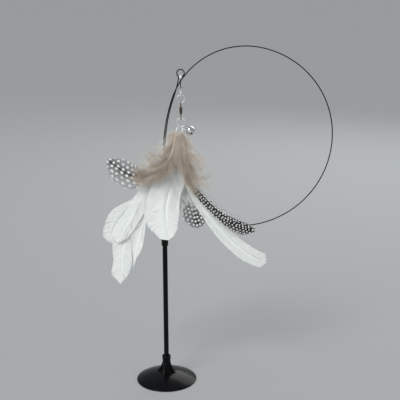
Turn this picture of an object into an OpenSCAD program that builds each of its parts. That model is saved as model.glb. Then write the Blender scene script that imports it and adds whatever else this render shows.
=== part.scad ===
// Cat teaser wand: a suction cup foot, a slim rod, one turn of spring wire and a feather lure
// that hangs from the wire's eye. Millimetres, +Z up, origin at the centre of the cup's rim.
// The wire's first pass lies in the plane Y = 0 and its second pass swings back to positive Y.

/* [Suction cup] */
// Diameter of the cup at its rim
cup_d = 60; // [50:1:75]
// Thickness of the cup's edge
cup_rim_t = 0.9; // [0.6:0.1:1.5]
// Width of the flat sealing rim
cup_land_w = 2.5; // [1.5:0.1:4]
// Height of the dome above the rim's edge
cup_dome_h = 7.6; // [6.5:0.1:10]
// Height of the hollow under the dome
cup_hollow_h = 5.6; // [4.8:0.1:6.2]
// Diameter of the socket neck
neck_d = 8.2; // [7.4:0.1:10]
// Height of the neck's mouth above the floor
neck_h = 25.8; // [23:0.1:32]
// Depth of the rod's socket
socket_depth = 14; // [10:0.5:16]
// Number of gusset fins round the neck
fin_count = 4; // [3:1:6]
// Thickness of a fin
fin_t = 1.6; // [1:0.1:2.4]
// How far a fin reaches from the axis
fin_reach = 9.8; // [8:0.1:13]
// Height of a fin's top above the floor
fin_top_h = 18.8; // [15:0.1:22]
// Turn of the fins about the axis, in degrees
fin_turn = -18; // [-45:1:45]

/* [Rod] */
// Outer diameter of the rod
rod_d = 4.8; // [4.2:0.1:5.6]
// Wall of the rod's tube
rod_wall = 0.9; // [0.6:0.1:1.3]
// Length of the rod's tube
rod_l = 134; // [110:1:160]
// Radial clearance between rod and socket
socket_clear = 0.05; // [0.02:0.01:0.1]

/* [Collar] */
// Diameter of the end cap on the rod
collar_d = 6.6; // [6.2:0.1:8]
// Height of the end cap
collar_h = 7.8; // [7:0.1:11]
// Height of the cap's solid top, with the wire's mouth in it
collar_top_h = 3.8; // [3.4:0.1:5]
// Height of the bevel at the cap's lower edge
collar_bevel = 0.8; // [0.4:0.1:1.2]
// Depth of the flared mouth
mouth_h = 2.8; // [2:0.1:3]
// Diameter of the mouth at its bottom
mouth_d = 1.3; // [1.2:0.1:1.6]
// Diameter of the mouth at its top
mouth_top_d = 3.2; // [2.8:0.1:4]

/* [Spring wire] */
// Diameter of the spring wire
wire_d = 0.9; // [0.8:0.05:1.1]
// Straight rise of the wire above the collar
rise_l = 87.4; // [80:0.1:95]
// Radius of the gentle lean above the rise
lean_r = 158; // [140:1:180]
// Sweep of the lean, in degrees
lean_a = 19; // [15:1:23]
// Radius of the loop's upper left shoulder
shoulder_r = 72; // [66:1:80]
// Sweep of the shoulder, in degrees
shoulder_a = 80; // [70:1:90]
// Radius of the loop's upper right side
side_r = 85; // [76:1:94]
// Radius of the loop's lower right side
lower_r = 89; // [82:1:96]
// Gap between the two passes, seen from the front
pass_gap = 0.3; // [0.1:0.1:1]
// Lean of the coil's second half out of the first half's plane, in degrees
coil_tilt = 2.4; // [2:0.1:4]
// Radius of the bend below the eye
eye_neck_r = 60; // [50:1:80]
// Straight stretch below the eye
eye_neck_l = 3.5; // [2:0.1:6]
// Radius of the eye, to the wire's middle
eye_r = 3.5; // [3.2:0.1:4.5]
// Sweep of the eye, in degrees
eye_a = 345; // [330:1:348]

/* [Clasp] */
// Distance from the eye's wire to the jump ring's wire
clasp_l = 17.2; // [16.5:0.1:20]
// Thickness of the clasp
clasp_t = 2.6; // [2.2:0.1:3.2]
// Radius of the hook's inside
hook_r = 1.5; // [1.4:0.05:1.8]
// Wall of the hook
hook_wall = 1.3; // [1.1:0.05:1.5]
// Length of the hook's straight sides
hook_side_l = 8.7; // [8:0.1:10]
// Outer radius of the clasp's lower eye
clasp_eye_r = 2.2; // [2:0.1:2.6]
// Radius of the hole in the clasp's lower eye
clasp_hole_r = 1.15; // [1.05:0.05:1.4]
// Thickness of the clasp's lower eye
clasp_eye_t = 1.2; // [1:0.1:1.4]
// Thickness of the trigger
trigger_t = 1; // [0.8:0.05:1.2]
// Radius of the trigger's pin
pin_r = 0.4; // [0.3:0.05:0.45]
// Thickness of the trigger's leaf spring
leaf_t = 0.2; // [0.15:0.05:0.3]

/* [Rings and swivel] */
// Radius of the jump ring, to the wire's middle
jump_r = 3.6; // [3.2:0.1:4.5]
// Radius of the jump ring's wire
jump_wire_r = 0.5; // [0.4:0.05:0.55]
// Gap between links that hang in each other
link_gap = 0.05; // [0.03:0.01:0.1]
// Radius of a swivel eye, to the wire's middle
swivel_eye_r = 1.5; // [1.4:0.05:2]
// Radius of the swivel eye's wire
swivel_wire_r = 0.4; // [0.3:0.05:0.45]
// Radius of the swivel's barrel
barrel_r = 1.4; // [1.3:0.05:1.8]
// Length of the barrel
barrel_l = 6.6; // [6:0.1:8]
// Length of a shank between its eye and the barrel
shank_l = 2; // [1.5:0.1:3]
// Radius of the split ring, to the wire's middle
split_r = 4.2; // [4:0.1:5]
// Radius of the split ring's wire
split_wire_r = 0.35; // [0.3:0.01:0.4]

/* [Bell] */
// Radius of the bell
bell_r = 4.6; // [4.2:0.1:5]
// Wall of the bell
bell_wall = 0.35; // [0.25:0.05:0.5]
// Width of the bell's slots
bell_slot_w = 0.9; // [0.6:0.1:1.3]
// Radius of the bell's pellet
pellet_r = 1.1; // [0.8:0.1:1.4]
// Radius of the bell's link, to the wire's middle
bell_link_r = 1.5; // [1.4:0.05:1.8]
// Play of the bell's link, which hangs aslant on the split ring
bell_link_play = 0.06; // [0.03:0.01:0.1]
// Radius of the bell's loop, to the wire's middle
bell_loop_r = 1.1; // [1.05:0.05:1.4]
// Radius of the link's wire
bell_wire_r = 0.32; // [0.25:0.01:0.35]
// Lean of the bell from straight down, in degrees
bell_lean = 33; // [28:1:45]
// Place of the bell's link on the split ring, in degrees from level
bell_place_a = -12; // [-20:1:0]

/* [Crimps] */
// Outer radius of a crimp
crimp_r = 1.35; // [1.3:0.05:1.6]
// Wall of a crimp
crimp_wall = 0.2; // [0.15:0.01:0.25]
// Length of a crimp
crimp_l = 4.8; // [4.4:0.1:7]
// Radius of a crimp's eye, to the wire's middle
crimp_eye_r = 1.2; // [1.15:0.05:1.5]
// Radius of the crimp eye's wire
crimp_wire_r = 0.3; // [0.25:0.01:0.32]
// Place of the left crimp on the split ring, in degrees from level
left_place_a = -128; // [-135:1:-122]
// Place of the right crimp on the split ring, in degrees from level
right_place_a = -68; // [-72:1:-60]
// Lean of the left crimp from straight down, in degrees
left_lean = -18; // [-25:1:-10]
// Lean of the right crimp from straight down, in degrees
right_lean = 2; // [-4:1:8]
// Radius of a feather's quill
quill_r = 0.32; // [0.25:0.01:0.34]
// Depth of the quills in the crimp
quill_depth = 3; // [2:0.1:4]

/* [White feathers] */
// Thickness of a white feather
vane_t = 0.9; // [0.6:0.05:1]
// Length over which the feathers come forward from the crimps
settle_l = 33; // [30:1:38]
// Depth by which the fan bows back at its reach
side_bow = 10; // [0:0.5:14]
// Distance to either side at which the fan has bowed back by that depth
bow_reach = 90; // [70:1:110]
// Depth by which the fan bulges forward halfway down
front_bow = 3; // [0:0.25:4]
// Height over which the fan bulges
bow_drop = 170; // [140:1:200]
// Length of the curled feather
curled_l = 126; // [110:1:140]
// Widest width of the curled feather
curled_w = 19; // [14:1:22]
// Length of the front feather
front_l = 119; // [105:1:130]
// Widest width of the front feather
front_w = 18; // [14:1:22]
// Length of the long feather
long_l = 161; // [145:1:170]
// Widest width of the long feather
long_w = 20; // [15:1:23]
// Length of the split feather
split_l = 133; // [120:1:145]
// Widest width of the split feather
split_w = 13; // [10:1:15]
// Length of the middle feather
middle_l = 105; // [95:1:110]
// Widest width of the middle feather
middle_w = 31; // [24:1:34]
// Length of the veil feather
veil_l = 103; // [92:1:112]
// Widest width of the veil feather
veil_w = 16; // [12:1:20]
// Length of the sweeping feather
sweep_l = 158; // [145:1:170]
// Widest width of the sweeping feather
sweep_w = 16; // [12:1:18]

/* [Spotted feathers] */
// Thickness of the downy base
down_t = 5.6; // [4:0.1:6]
// Length of the left spotted feather
left_l = 95; // [85:1:105]
// Widest width of its downy base
left_w = 27; // [22:1:30]
// Length of the right spotted feather
right_l = 120; // [110:1:130]
// Widest width of its downy base
right_w = 22; // [18:1:25]
// Length of the round spotted feather
round_l = 94; // [85:1:102]
// Width of its round tip
round_w = 20; // [16:1:23]

/* [Hidden] */

// Facets of round pieces, of wires and of thin rings' sections
round_fn = 96;
wire_fn = 48;
section_fn = 24;
// How far a cut runs past the face that it opens
overrun = 1;
// Clearance of a pin in its holes, and of a trigger in its slot
pin_clear = 0.03;
slot_clear = 0.1;

cup_r = cup_d / 2;
hollow_r = cup_r - cup_land_w;
// A fin's foot above the floor, how far its edge sags, and how far its top goes into the neck
fin_foot_z = cup_hollow_h + cup_rim_t;
fin_toe_w = 1.6;
fin_sag = 0.8;
fin_bite = 0.22;
rod_r = rod_d / 2;
rod_bottom_z = neck_h - socket_depth;
rod_top_z = rod_bottom_z + rod_l;
collar_top_z = rod_top_z + collar_top_h;
mouth_bottom_z = collar_top_z - mouth_h;
wire_r = wire_d / 2;

// Radius of the sphere whose cap has the base radius r and the height h
function cap_r(r, h) = (r * r + h * h) / (2 * h);

// The wire starts just above the mouth's bottom
wire_seat_gap = 0.2;
wire_start_z = mouth_bottom_z + wire_seat_gap;
side_a = 180 - lean_a - shoulder_a;
quarter_a = 90;
half_turn_a = 180;

// Step from a point with a heading along one leg. A leg is [radius, sweep], or [length, 0]
// where it is straight. Headings turn clockwise from straight up, seen from the front.
function leg_point(p, a, leg, share) =
    leg[1] == 0
        ? p + leg[0] * share * [sin(a), cos(a)]
        : let (
            side = leg[1] > 0 ? 1 : -1,
            centre = p + side * leg[0] * [cos(a), -sin(a)],
            turned = a + leg[1] * share
        )
        centre + side * leg[0] * [-cos(turned), sin(turned)];

first_legs = [
    [rise_l, 0],
    [lean_r, lean_a],
    [shoulder_r, shoulder_a],
    [side_r, side_a],
    [lower_r, quarter_a]
];
function walk(legs, i) =
    i == 0
        ? [[0, wire_start_z], 0]
        : let (before = walk(legs, i - 1))
        [leg_point(before[0], before[1], legs[i - 1], 1), before[1] + legs[i - 1][1]];

loop_right_x = walk(first_legs, 4)[0][0];
loop_bottom = walk(first_legs, 5)[0];
// The last quarter brings the second pass up beside the first
return_r = loop_bottom[0] - wire_d - pass_gap;
second_rise_l = max(wire_seat_gap, wire_start_z + rise_l - loop_bottom[1] - return_r);
wire_legs = concat(first_legs, [
    [return_r, quarter_a],
    [second_rise_l, 0],
    [lean_r, lean_a],
    [eye_neck_r, -lean_a],
    [eye_neck_l, 0],
    [eye_r, eye_a]
]);
// Steps along each leg: enough for a smooth curve, one for a straight
arc_step_a = 6;
eye_step_a = 15;
function leg_steps(leg) =
    leg[1] == 0 ? 1 : ceil(abs(leg[1]) / (leg[0] > eye_r ? arc_step_a : eye_step_a));
wire_path = concat(
    [[[0, wire_start_z], 0, 0]],
    [
        for (i = [0 : len(wire_legs) - 1])
            let (from = walk(wire_legs, i), steps = leg_steps(wire_legs[i]))
            for (k = [1 : steps])
                [
                    leg_point(from[0], from[1], wire_legs[i], k / steps),
                    from[1] + wire_legs[i][1] * k / steps,
                    i == len(wire_legs) - 1 ? k / steps : 0
                ]
    ]
);
// Depth of a point: the second half leans back about the loop's right side, and the eye
// winds back by a little over the wire's diameter, so that its end lies behind its neck
eye_clear = 0.1;
eye_wind = wire_d + eye_clear;
function pass_y(p, a, eye_share) =
    (a > 180 ? (loop_right_x - p[0]) * tan(coil_tilt) : 0) + eye_wind * eye_share;

// How far a ring of radius r falls away over a width w
function ring_fall(r, w) = r - sqrt(r * r - w * w / 4);
// The split ring's two turns lie side by side and touch
turn_side_share = 0.9;
split_side = split_wire_r * turn_side_share;
// Distance from an eye's middle to the split ring's wire that hangs in it, where the eye has
// the inside radius r and stands off the split ring's radius by an angle
function split_seat(r, off_a) =
    sqrt(pow(r - split_wire_r / cos(off_a) - link_gap, 2) - split_side * split_side);

// Places down the lure's axis
eye_start = walk(wire_legs, len(wire_legs) - 1)[0];
lure_x = eye_start[0] + eye_r;
lure_y = pass_y([lure_x, 0], 360, 270 / eye_a);
hook_z = eye_start[1] - eye_r;
jump_z = hook_z - clasp_l - jump_r;
upper_eye_z = jump_z - jump_r + jump_wire_r + swivel_wire_r + link_gap - swivel_eye_r;
barrel_top_z = upper_eye_z - swivel_eye_r - shank_l;
barrel_bottom_z = barrel_top_z - barrel_l;
lower_eye_z = barrel_bottom_z - shank_l - swivel_eye_r;
split_z = lower_eye_z - split_seat(swivel_eye_r - swivel_wire_r, 0) - split_r;

// Swivel insides
shank_r = 0.45;
head_r = 0.9;
head_t = 0.8;
barrel_hole_r = 0.55;
barrel_wall = 0.35;
barrel_end_t = 0.7;
barrel_bevel = 0.4;

// Direction of something that hangs with a lean, and the direction to its right
function hang(a) = [sin(a), 0, -cos(a)];
function beside(a) = [cos(a), 0, sin(a)];
function on_split(a) = [lure_x + split_r * cos(a), lure_y, split_z + split_r * sin(a)];

// Clasp places, measured from the eye's wire
hook_drop = hook_r - wire_r - link_gap - ring_fall(eye_r, clasp_t);
hook_low = hook_drop + hook_side_l;
hook_outer_r = hook_r + hook_wall;
clasp_eye_drop = clasp_l - clasp_hole_r + jump_wire_r + link_gap + ring_fall(jump_r, clasp_eye_t);
clasp_neck_w = 2.6;
pin_a = 18;
hook_mid_r = hook_r + hook_wall / 2;
pin_place = [-hook_mid_r * cos(pin_a), -hook_low - hook_mid_r * sin(pin_a)];
trigger_w = 1.1;
trigger_top_drop = 2.6;
trigger_boss_r = 0.62;
trigger_gap = 0.15;
gate_top_drop = trigger_top_drop - trigger_gap;
trigger_slot_r = trigger_boss_r + slot_clear;

// Bell places, measured along its lean from the split ring's wire
bell_link_drop =
    split_seat(bell_link_r - bell_wire_r, quarter_a + bell_place_a - bell_lean) - bell_link_play;
bell_loop_drop = bell_link_drop + bell_link_r - 2 * bell_wire_r - link_gap + bell_loop_r;
bell_drop = bell_loop_drop + bell_loop_r + bell_wire_r + bell_r;
bell_foot_r = 0.45;
bell_slot_top = 1.6;
bell_slot_end_r = 0.9;
pellet_gap = 0.1;
pellet_drop = bell_drop + bell_r - bell_wall - pellet_r - pellet_gap;

// Crimp places, measured along its lean from the split ring's wire
crimp_eye_drop = split_seat(crimp_eye_r - crimp_wire_r, quarter_a + right_place_a - right_lean);
crimp_top_drop = crimp_eye_drop + crimp_eye_r;
crimp_end_drop = crimp_top_drop + crimp_l;
quill_drop = crimp_end_drop - quill_depth;
quill_circle_r = crimp_r - crimp_wall - quill_r - slot_clear;

// Rings of points along a feather, and points round each ring
feather_rings = 21;
ring_growth_share = 1.35;
feather_sides = 8;

// Depths at which the feathers settle, back to front, each clear of the next
layer_gap = 0.5;
layer_step = vane_t + layer_gap;
back_layer_y = -5.6;
front_feather_y = back_layer_y - 5 * layer_step;
down_layer_y = front_feather_y - layer_step - down_t;

// Each feather's headings in degrees from straight down, and its widths and thicknesses as
// shares of the widest and thickest, all by share of its length
curled_heading_shares = [
    [0, -18], [0.08, -23], [0.3, -32], [0.52, -36], [0.66, -46], [0.77, -42], [0.88, -29], [1, -8]
];
curled_width_shares = [
    [0, 0], [0.28, 0.05], [0.45, 0.42], [0.6, 0.74], [0.75, 0.94], [0.85, 1], [0.94, 0.78], [1, 0.2]
];
front_heading_shares = [[0, -18], [0.08, -27], [0.25, -30], [0.53, -28], [0.7, -33], [0.86, -31], [1, -15]];
front_width_shares = [
    [0, 0], [0.25, 0.05], [0.36, 0.36], [0.5, 0.68], [0.66, 0.92], [0.84, 1], [0.94, 0.9], [1, 0.5]
];
long_heading_shares = [
    [0, -18], [0.07, -26], [0.3, -29], [0.47, -27], [0.66, -23], [0.76, -14], [0.84, -4], [1, -4]
];
long_width_shares = [
    [0, 0], [0.24, 0.04], [0.4, 0.38], [0.54, 0.6], [0.68, 0.84], [0.78, 1], [0.93, 0.86], [1, 0.15]
];
split_heading_shares = [[0, -18], [0.08, -22], [0.5, -23], [0.68, -18], [0.8, -12], [1, -11]];
split_width_shares = [
    [0, 0], [0.26, 0.05], [0.4, 0.45], [0.6, 0.9], [0.74, 1], [0.88, 0.74], [0.97, 0.4], [1, 0.15]
];
middle_heading_shares = [
    [0, 2], [0.06, -6], [0.2, -16], [0.5, -18], [0.62, -12], [0.78, 2], [0.9, 8], [1, 12]
];
middle_width_shares = [
    [0, 0], [0.2, 0.05], [0.33, 0.32], [0.48, 0.64], [0.62, 0.9], [0.76, 1], [0.87, 0.88], [0.95, 0.5],
    [1, 0.16]
];
veil_heading_shares = [[0, 2], [0.06, -5], [0.4, -9], [0.6, -7], [0.8, -2], [1, -5]];
veil_width_shares = [
    [0, 0], [0.22, 0.06], [0.35, 0.4], [0.5, 0.76], [0.66, 0.96], [0.78, 1], [0.9, 0.74], [1, 0.16]
];
sweep_heading_shares = [
    [0, 2], [0.16, 3], [0.26, 16], [0.37, 28], [0.48, 35], [0.6, 39], [0.83, 49], [0.93, 60],
    [1, 72]
];
sweep_width_shares = [
    [0, 0], [0.16, 0.04], [0.3, 0.34], [0.42, 0.5], [0.54, 0.62], [0.68, 0.84], [0.85, 1], [0.97, 0.9],
    [1, 0.4]
];
left_heading_shares = [
    [0, -18], [0.1, -16], [0.22, -28], [0.38, -45], [0.51, -58], [0.63, -84], [0.75, -114], [0.88, -130],
    [1, -138]
];
left_width_shares = [
    [0, 0], [0.05, 0.05], [0.1, 0.14], [0.17, 0.5], [0.31, 0.96], [0.44, 1], [0.57, 0.74], [0.69, 0.44],
    [0.84, 0.5], [0.95, 0.32], [1, 0.06]
];
left_thick_shares = [
    [0, 0], [0.1, 0.12], [0.25, 0.6], [0.4, 1], [0.55, 0.9], [0.7, 0.4], [0.85, 0.2], [1, 0.12]
];
right_heading_shares = [
    [0, 2], [0.05, 8], [0.28, 14], [0.4, 20], [0.5, 35], [0.62, 44], [0.75, 54], [0.86, 59],
    [1, 68]
];
right_width_shares = [
    [0, 0], [0.04, 0.05], [0.08, 0.15], [0.14, 0.56], [0.23, 0.92], [0.34, 1], [0.45, 0.74], [0.56, 0.42],
    [0.8, 0.4], [0.92, 0.5], [1, 0.12]
];
right_thick_shares = [
    [0, 0], [0.08, 0.12], [0.2, 0.6], [0.33, 1], [0.45, 0.9], [0.6, 0.6], [0.85, 0.5], [1, 0.2]
];
round_heading_shares = [[0, 2], [0.1, 5], [0.45, 7], [0.6, 11], [0.84, 16], [1, 20]];
round_width_shares = [
    [0, 0], [0.3, 0.1], [0.53, 0.44], [0.67, 0.64], [0.8, 0.94], [0.89, 1], [0.96, 0.7], [1, 0.24]
];
even_thick_shares = [[0, 0.6], [0.3, 1], [0.9, 1], [1, 0.5]];

module ring(r, wire) {
    rotate_extrude($fn = wire_fn) translate([r, 0]) circle(r = wire, $fn = section_fn);
}

// A ring that stands in the front plane, and one that stands across it
module front_ring(r, wire) {
    rotate([90, 0, 0]) ring(r, wire);
}
module side_ring(r, wire) {
    rotate([0, 90, 0]) ring(r, wire);
}

module suction_cup() {
    dome_r = cap_r(cup_r, cup_dome_h);
    under_r = cap_r(hollow_r, cup_hollow_h);
    color("#0b0c0d") difference() {
        union() {
            intersection() {
                translate([0, 0, cup_rim_t + cup_dome_h - dome_r]) sphere(r = dome_r, $fn = round_fn);
                cylinder(r = cup_r, h = cup_rim_t + cup_dome_h, $fn = round_fn);
            }
            translate([0, 0, cup_dome_h]) cylinder(d = neck_d, h = neck_h - cup_dome_h, $fn = round_fn);
            for (i = [0 : fin_count - 1])
                rotate([90, 0, fin_turn + 360 * i / fin_count])
                    translate([0, 0, -fin_t / 2])
                        linear_extrude(fin_t)
                            polygon([
                                [neck_d / 4, fin_foot_z],
                                [fin_reach - fin_toe_w, fin_foot_z],
                                [fin_reach, cup_dome_h],
                                [(fin_reach + neck_d / 2) / 2, (fin_top_h + cup_dome_h) / 2 - fin_sag],
                                [neck_d / 2 - fin_bite, fin_top_h],
                                [neck_d / 4, fin_top_h]
                            ]);
        }
        translate([0, 0, cup_hollow_h - under_r]) sphere(r = under_r, $fn = round_fn);
        translate([0, 0, rod_bottom_z])
            cylinder(r = rod_r + socket_clear, h = socket_depth + overrun, $fn = round_fn);
    }
}

module stem_tube() {
    color("#101112") translate([0, 0, rod_bottom_z]) difference() {
        cylinder(r = rod_r, h = rod_l, $fn = round_fn);
        translate([0, 0, rod_wall]) cylinder(r = rod_r - rod_wall, h = rod_l, $fn = round_fn);
    }
}

module stem_collar() {
    bottom_z = collar_top_z - collar_h;
    pocket_r = rod_r + socket_clear;
    color("#0c0d0e") difference() {
        union() {
            translate([0, 0, bottom_z + collar_bevel])
                cylinder(d = collar_d, h = collar_h - collar_bevel, $fn = round_fn);
            translate([0, 0, bottom_z])
                cylinder(d1 = collar_d - collar_bevel, d2 = collar_d, h = collar_bevel, $fn = round_fn);
        }
        translate([0, 0, bottom_z - overrun])
            cylinder(r = pocket_r, h = rod_top_z - bottom_z + overrun, $fn = round_fn);
        translate([0, 0, mouth_bottom_z])
            cylinder(d1 = mouth_d, d2 = mouth_top_d, h = mouth_h, $fn = round_fn);
        translate([0, 0, collar_top_z]) cylinder(d = mouth_top_d, h = overrun, $fn = round_fn);
    }
}

// The wire's section is swept along its path as one polyhedron
wire_sides = 8;
module spring_wire() {
    points = [
        for (step = wire_path)
            let (p = step[0], a = step[1], across = [cos(a), 0, -sin(a)])
            for (k = [0 : wire_sides - 1])
                [p[0], pass_y(p, a, step[2]), p[1]]
                + wire_r * (cos(360 * k / wire_sides) * across + sin(360 * k / wire_sides) * [0, 1, 0])
    ];
    color("#0a0a0a") polyhedron(points, tube_faces(len(wire_path), wire_sides));
}

// Faces of a tube of rings, closed at both ends
function tube_faces(rings, sides) = concat(
    [[for (k = [0 : sides - 1]) k]],
    [
        for (i = [0 : rings - 2])
            for (k = [0 : sides - 1])
                let (a = i * sides + k, b = i * sides + (k + 1) % sides)
                each [[a, a + sides, b + sides], [a, b + sides, b]]
    ],
    [[for (k = [sides - 1 : -1 : 0]) (rings - 1) * sides + k]]
);

// Clasp outlines are drawn as [depth, height] from the eye's wire and stood across the front plane
module across(t) {
    translate([lure_x - t / 2, lure_y, hook_z])
        rotate([90, 0, 90])
            linear_extrude(t)
                children();
}
module slot_outline(r, top, low) {
    translate([0, -top]) circle(r = r, $fn = wire_fn);
    translate([0, -low]) circle(r = r, $fn = wire_fn);
    translate([-r, -low]) square([2 * r, low - top]);
}

module clasp_body() {
    color("#c9ccd0") difference() {
        union() {
            across(clasp_t) {
                slot_outline(hook_outer_r, hook_drop, hook_low);
                translate([-clasp_neck_w / 2, clasp_eye_r - clasp_eye_drop])
                    square([clasp_neck_w, clasp_eye_drop - clasp_eye_r - hook_low - hook_r]);
            }
            across(clasp_eye_t) {
                translate([0, -clasp_eye_drop]) circle(r = clasp_eye_r, $fn = wire_fn);
                translate([-clasp_neck_w / 2, -clasp_eye_drop])
                    square([clasp_neck_w, clasp_eye_r + clasp_t / 2]);
            }
        }
        across(clasp_t + 2 * overrun) {
            slot_outline(hook_r, hook_drop, hook_low);
            translate([-hook_outer_r - overrun, -hook_low])
                square([hook_outer_r + overrun, hook_low - gate_top_drop]);
            translate([0, -clasp_eye_drop]) circle(r = clasp_hole_r, $fn = wire_fn);
            translate(pin_place) circle(r = pin_r + pin_clear, $fn = wire_fn);
        }
        across(trigger_t + 2 * slot_clear) {
            translate(pin_place) circle(r = trigger_slot_r, $fn = wire_fn);
            translate([pin_place[0] - hook_wall, pin_place[1]])
                square([2 * hook_wall, hook_wall]);
        }
    }
}

module clasp_trigger() {
    color("#b9bcc0") difference() {
        across(trigger_t) {
            translate(pin_place) circle(r = trigger_boss_r, $fn = wire_fn);
            translate([pin_place[0] - trigger_w / 2, pin_place[1]])
                square([trigger_w, -pin_place[1] - trigger_top_drop]);
        }
        across(trigger_t + 2 * overrun)
            translate(pin_place) circle(r = pin_r + pin_clear, $fn = wire_fn);
    }
}

module clasp_pin() {
    color("#d4d6d8") across(clasp_t) translate(pin_place) circle(r = pin_r, $fn = wire_fn);
}

// A leaf that lies round the hook's lower inside and bears on the trigger's back
leaf_w = 0.9;
leaf_sweep = 200;
module clasp_spring() {
    leaf_r = hook_r - leaf_t - slot_clear / 2;
    color("#8e9196")
        translate([lure_x - leaf_w / 2, lure_y, hook_z - hook_low])
            rotate([90, 0, 90])
                rotate([0, 0, -(leaf_sweep + 180) / 2])
                    rotate_extrude(angle = leaf_sweep, $fn = wire_fn)
                        translate([leaf_r, 0])
                            square([leaf_t, leaf_w]);
}

// Width of the cut in the jump ring
jump_cut_w = 0.12;
module jump_ring() {
    color("#d6d8da") translate([lure_x, lure_y, jump_z]) difference() {
        front_ring(jump_r, jump_wire_r);
        translate([0, -overrun, -jump_cut_w / 2]) cube([jump_r + overrun, 2 * overrun, jump_cut_w]);
    }
}

// An eye with its shank and head, the eye's middle at the origin and the shank pointing down
module swivel_eye() {
    head_drop = swivel_eye_r + shank_l + barrel_end_t + slot_clear;
    side_ring(swivel_eye_r, swivel_wire_r);
    translate([0, 0, -head_drop]) cylinder(r = shank_r, h = head_drop - swivel_eye_r, $fn = wire_fn);
    translate([0, 0, -head_drop - head_t]) cylinder(r = head_r, h = head_t, $fn = wire_fn);
}

module swivel_upper_eye() {
    color("#9a9c9f") translate([lure_x, lure_y, upper_eye_z]) swivel_eye();
}

module swivel_lower_eye() {
    color("#9a9c9f") translate([lure_x, lure_y, lower_eye_z]) rotate([180, 0, 0]) swivel_eye();
}

module swivel_barrel() {
    color("#4a3b33") translate([lure_x, lure_y, barrel_bottom_z]) difference() {
        union() {
            translate([0, 0, barrel_bevel])
                cylinder(r = barrel_r, h = barrel_l - 2 * barrel_bevel, $fn = wire_fn);
            cylinder(r1 = barrel_r - barrel_bevel, r2 = barrel_r, h = barrel_bevel, $fn = wire_fn);
            translate([0, 0, barrel_l - barrel_bevel])
                cylinder(r1 = barrel_r, r2 = barrel_r - barrel_bevel, h = barrel_bevel, $fn = wire_fn);
        }
        translate([0, 0, -overrun]) cylinder(r = barrel_hole_r, h = barrel_l + 2 * overrun, $fn = wire_fn);
        translate([0, 0, barrel_end_t])
            cylinder(r = barrel_r - barrel_wall, h = barrel_l - 2 * barrel_end_t, $fn = wire_fn);
    }
}

module split_ring() {
    color("#d9dbdd") translate([lure_x, lure_y, split_z])
        rotate([90, 0, 0])
            rotate_extrude($fn = wire_fn)
                for (side = [-1, 1])
                    translate([split_r, side * split_side])
                        circle(r = split_wire_r, $fn = section_fn);
}

// Puts a piece that hangs from the split ring at its place, leaning from straight down
module hung(place_a, lean_from_down, drop) {
    translate(on_split(place_a) + drop * hang(lean_from_down))
        rotate([0, -lean_from_down, 0])
            children();
}

module bell_link() {
    color("#e2e3e4") hung(bell_place_a, bell_lean, bell_link_drop) side_ring(bell_link_r, bell_wire_r);
}

module bell_loop() {
    color("#dcdddf") hung(bell_place_a, bell_lean, bell_loop_drop) {
        front_ring(bell_loop_r, bell_wire_r);
        translate([0, 0, -bell_loop_r - bell_wire_r])
            cylinder(r = bell_foot_r, h = bell_wire_r, $fn = section_fn);
    }
}

module bell_shell() {
    difference() {
        sphere(r = bell_r, $fn = round_fn);
        sphere(r = bell_r - bell_wall, $fn = round_fn);
    }
}

module bell_upper() {
    color("#e6e7e8") hung(bell_place_a, bell_lean, bell_drop) difference() {
        bell_shell();
        translate([0, 0, -bell_r]) cube(2 * bell_r, center = true);
    }
}

// The lower half has two crossed slots that end in round holes
module bell_lower() {
    color("#e0e1e3") hung(bell_place_a, bell_lean, bell_drop) difference() {
        bell_shell();
        translate([0, 0, bell_r]) cube(2 * bell_r, center = true);
        for (turn = [0, 90]) rotate([0, 0, turn]) {
            translate([-bell_r, -bell_slot_w / 2, -bell_r - overrun])
                cube([2 * bell_r, bell_slot_w, bell_r + overrun - bell_slot_top]);
            translate([-bell_r, 0, -bell_slot_top])
                rotate([0, 90, 0])
                    cylinder(r = bell_slot_end_r, h = 2 * bell_r, $fn = section_fn);
        }
    }
}

module bell_pellet() {
    color("#a9abad") hung(bell_place_a, bell_lean, pellet_drop) sphere(r = pellet_r, $fn = wire_fn);
}

module crimp(place_a, lean_from_down) {
    color("#dfe1e3") hung(place_a, lean_from_down, 0) {
        translate([0, 0, -crimp_eye_drop]) side_ring(crimp_eye_r, crimp_wire_r);
        translate([0, 0, -crimp_end_drop]) difference() {
            cylinder(r = crimp_r, h = crimp_l, $fn = wire_fn);
            translate([0, 0, -overrun])
                cylinder(r = crimp_r - crimp_wall, h = crimp_l + overrun - 2 * crimp_wall, $fn = wire_fn);
        }
    }
}

module crimp_left() {
    crimp(left_place_a, left_lean);
}

module crimp_right() {
    crimp(right_place_a, right_lean);
}

// Start of a quill in its crimp, at one of five places round the crimp's axis
quill_count = 5;
function quill_start(place_a, lean_from_down, k) =
    let (a = quarter_a + 360 * k / quill_count)
    on_split(place_a) + quill_drop * hang(lean_from_down)
    + quill_circle_r * (cos(a) * beside(lean_from_down) + sin(a) * [0, 1, 0]);

// Share of the way forward at a distance below the crimp's mouth. It starts and ends level.
function settled(distance) =
    let (left = 1 - min(1, distance / settle_l))
    1 - pow(left, 3) * (4 - 3 * left);

// A ring's place as a share of the length below the mouth. Rings stand closest near the mouth.
function ring_share(i) = pow(i / (feather_rings - 1), ring_growth_share);

// Depth by which the whole fan bows at a point, so that its layers bow together
function fan_depth(point) =
    let (down = max(0, min(1, (split_z - point[2]) / bow_drop)))
    side_bow * pow((point[0] - lure_x) / bow_reach, 2) - front_bow * sin(half_turn_a * down);

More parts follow.
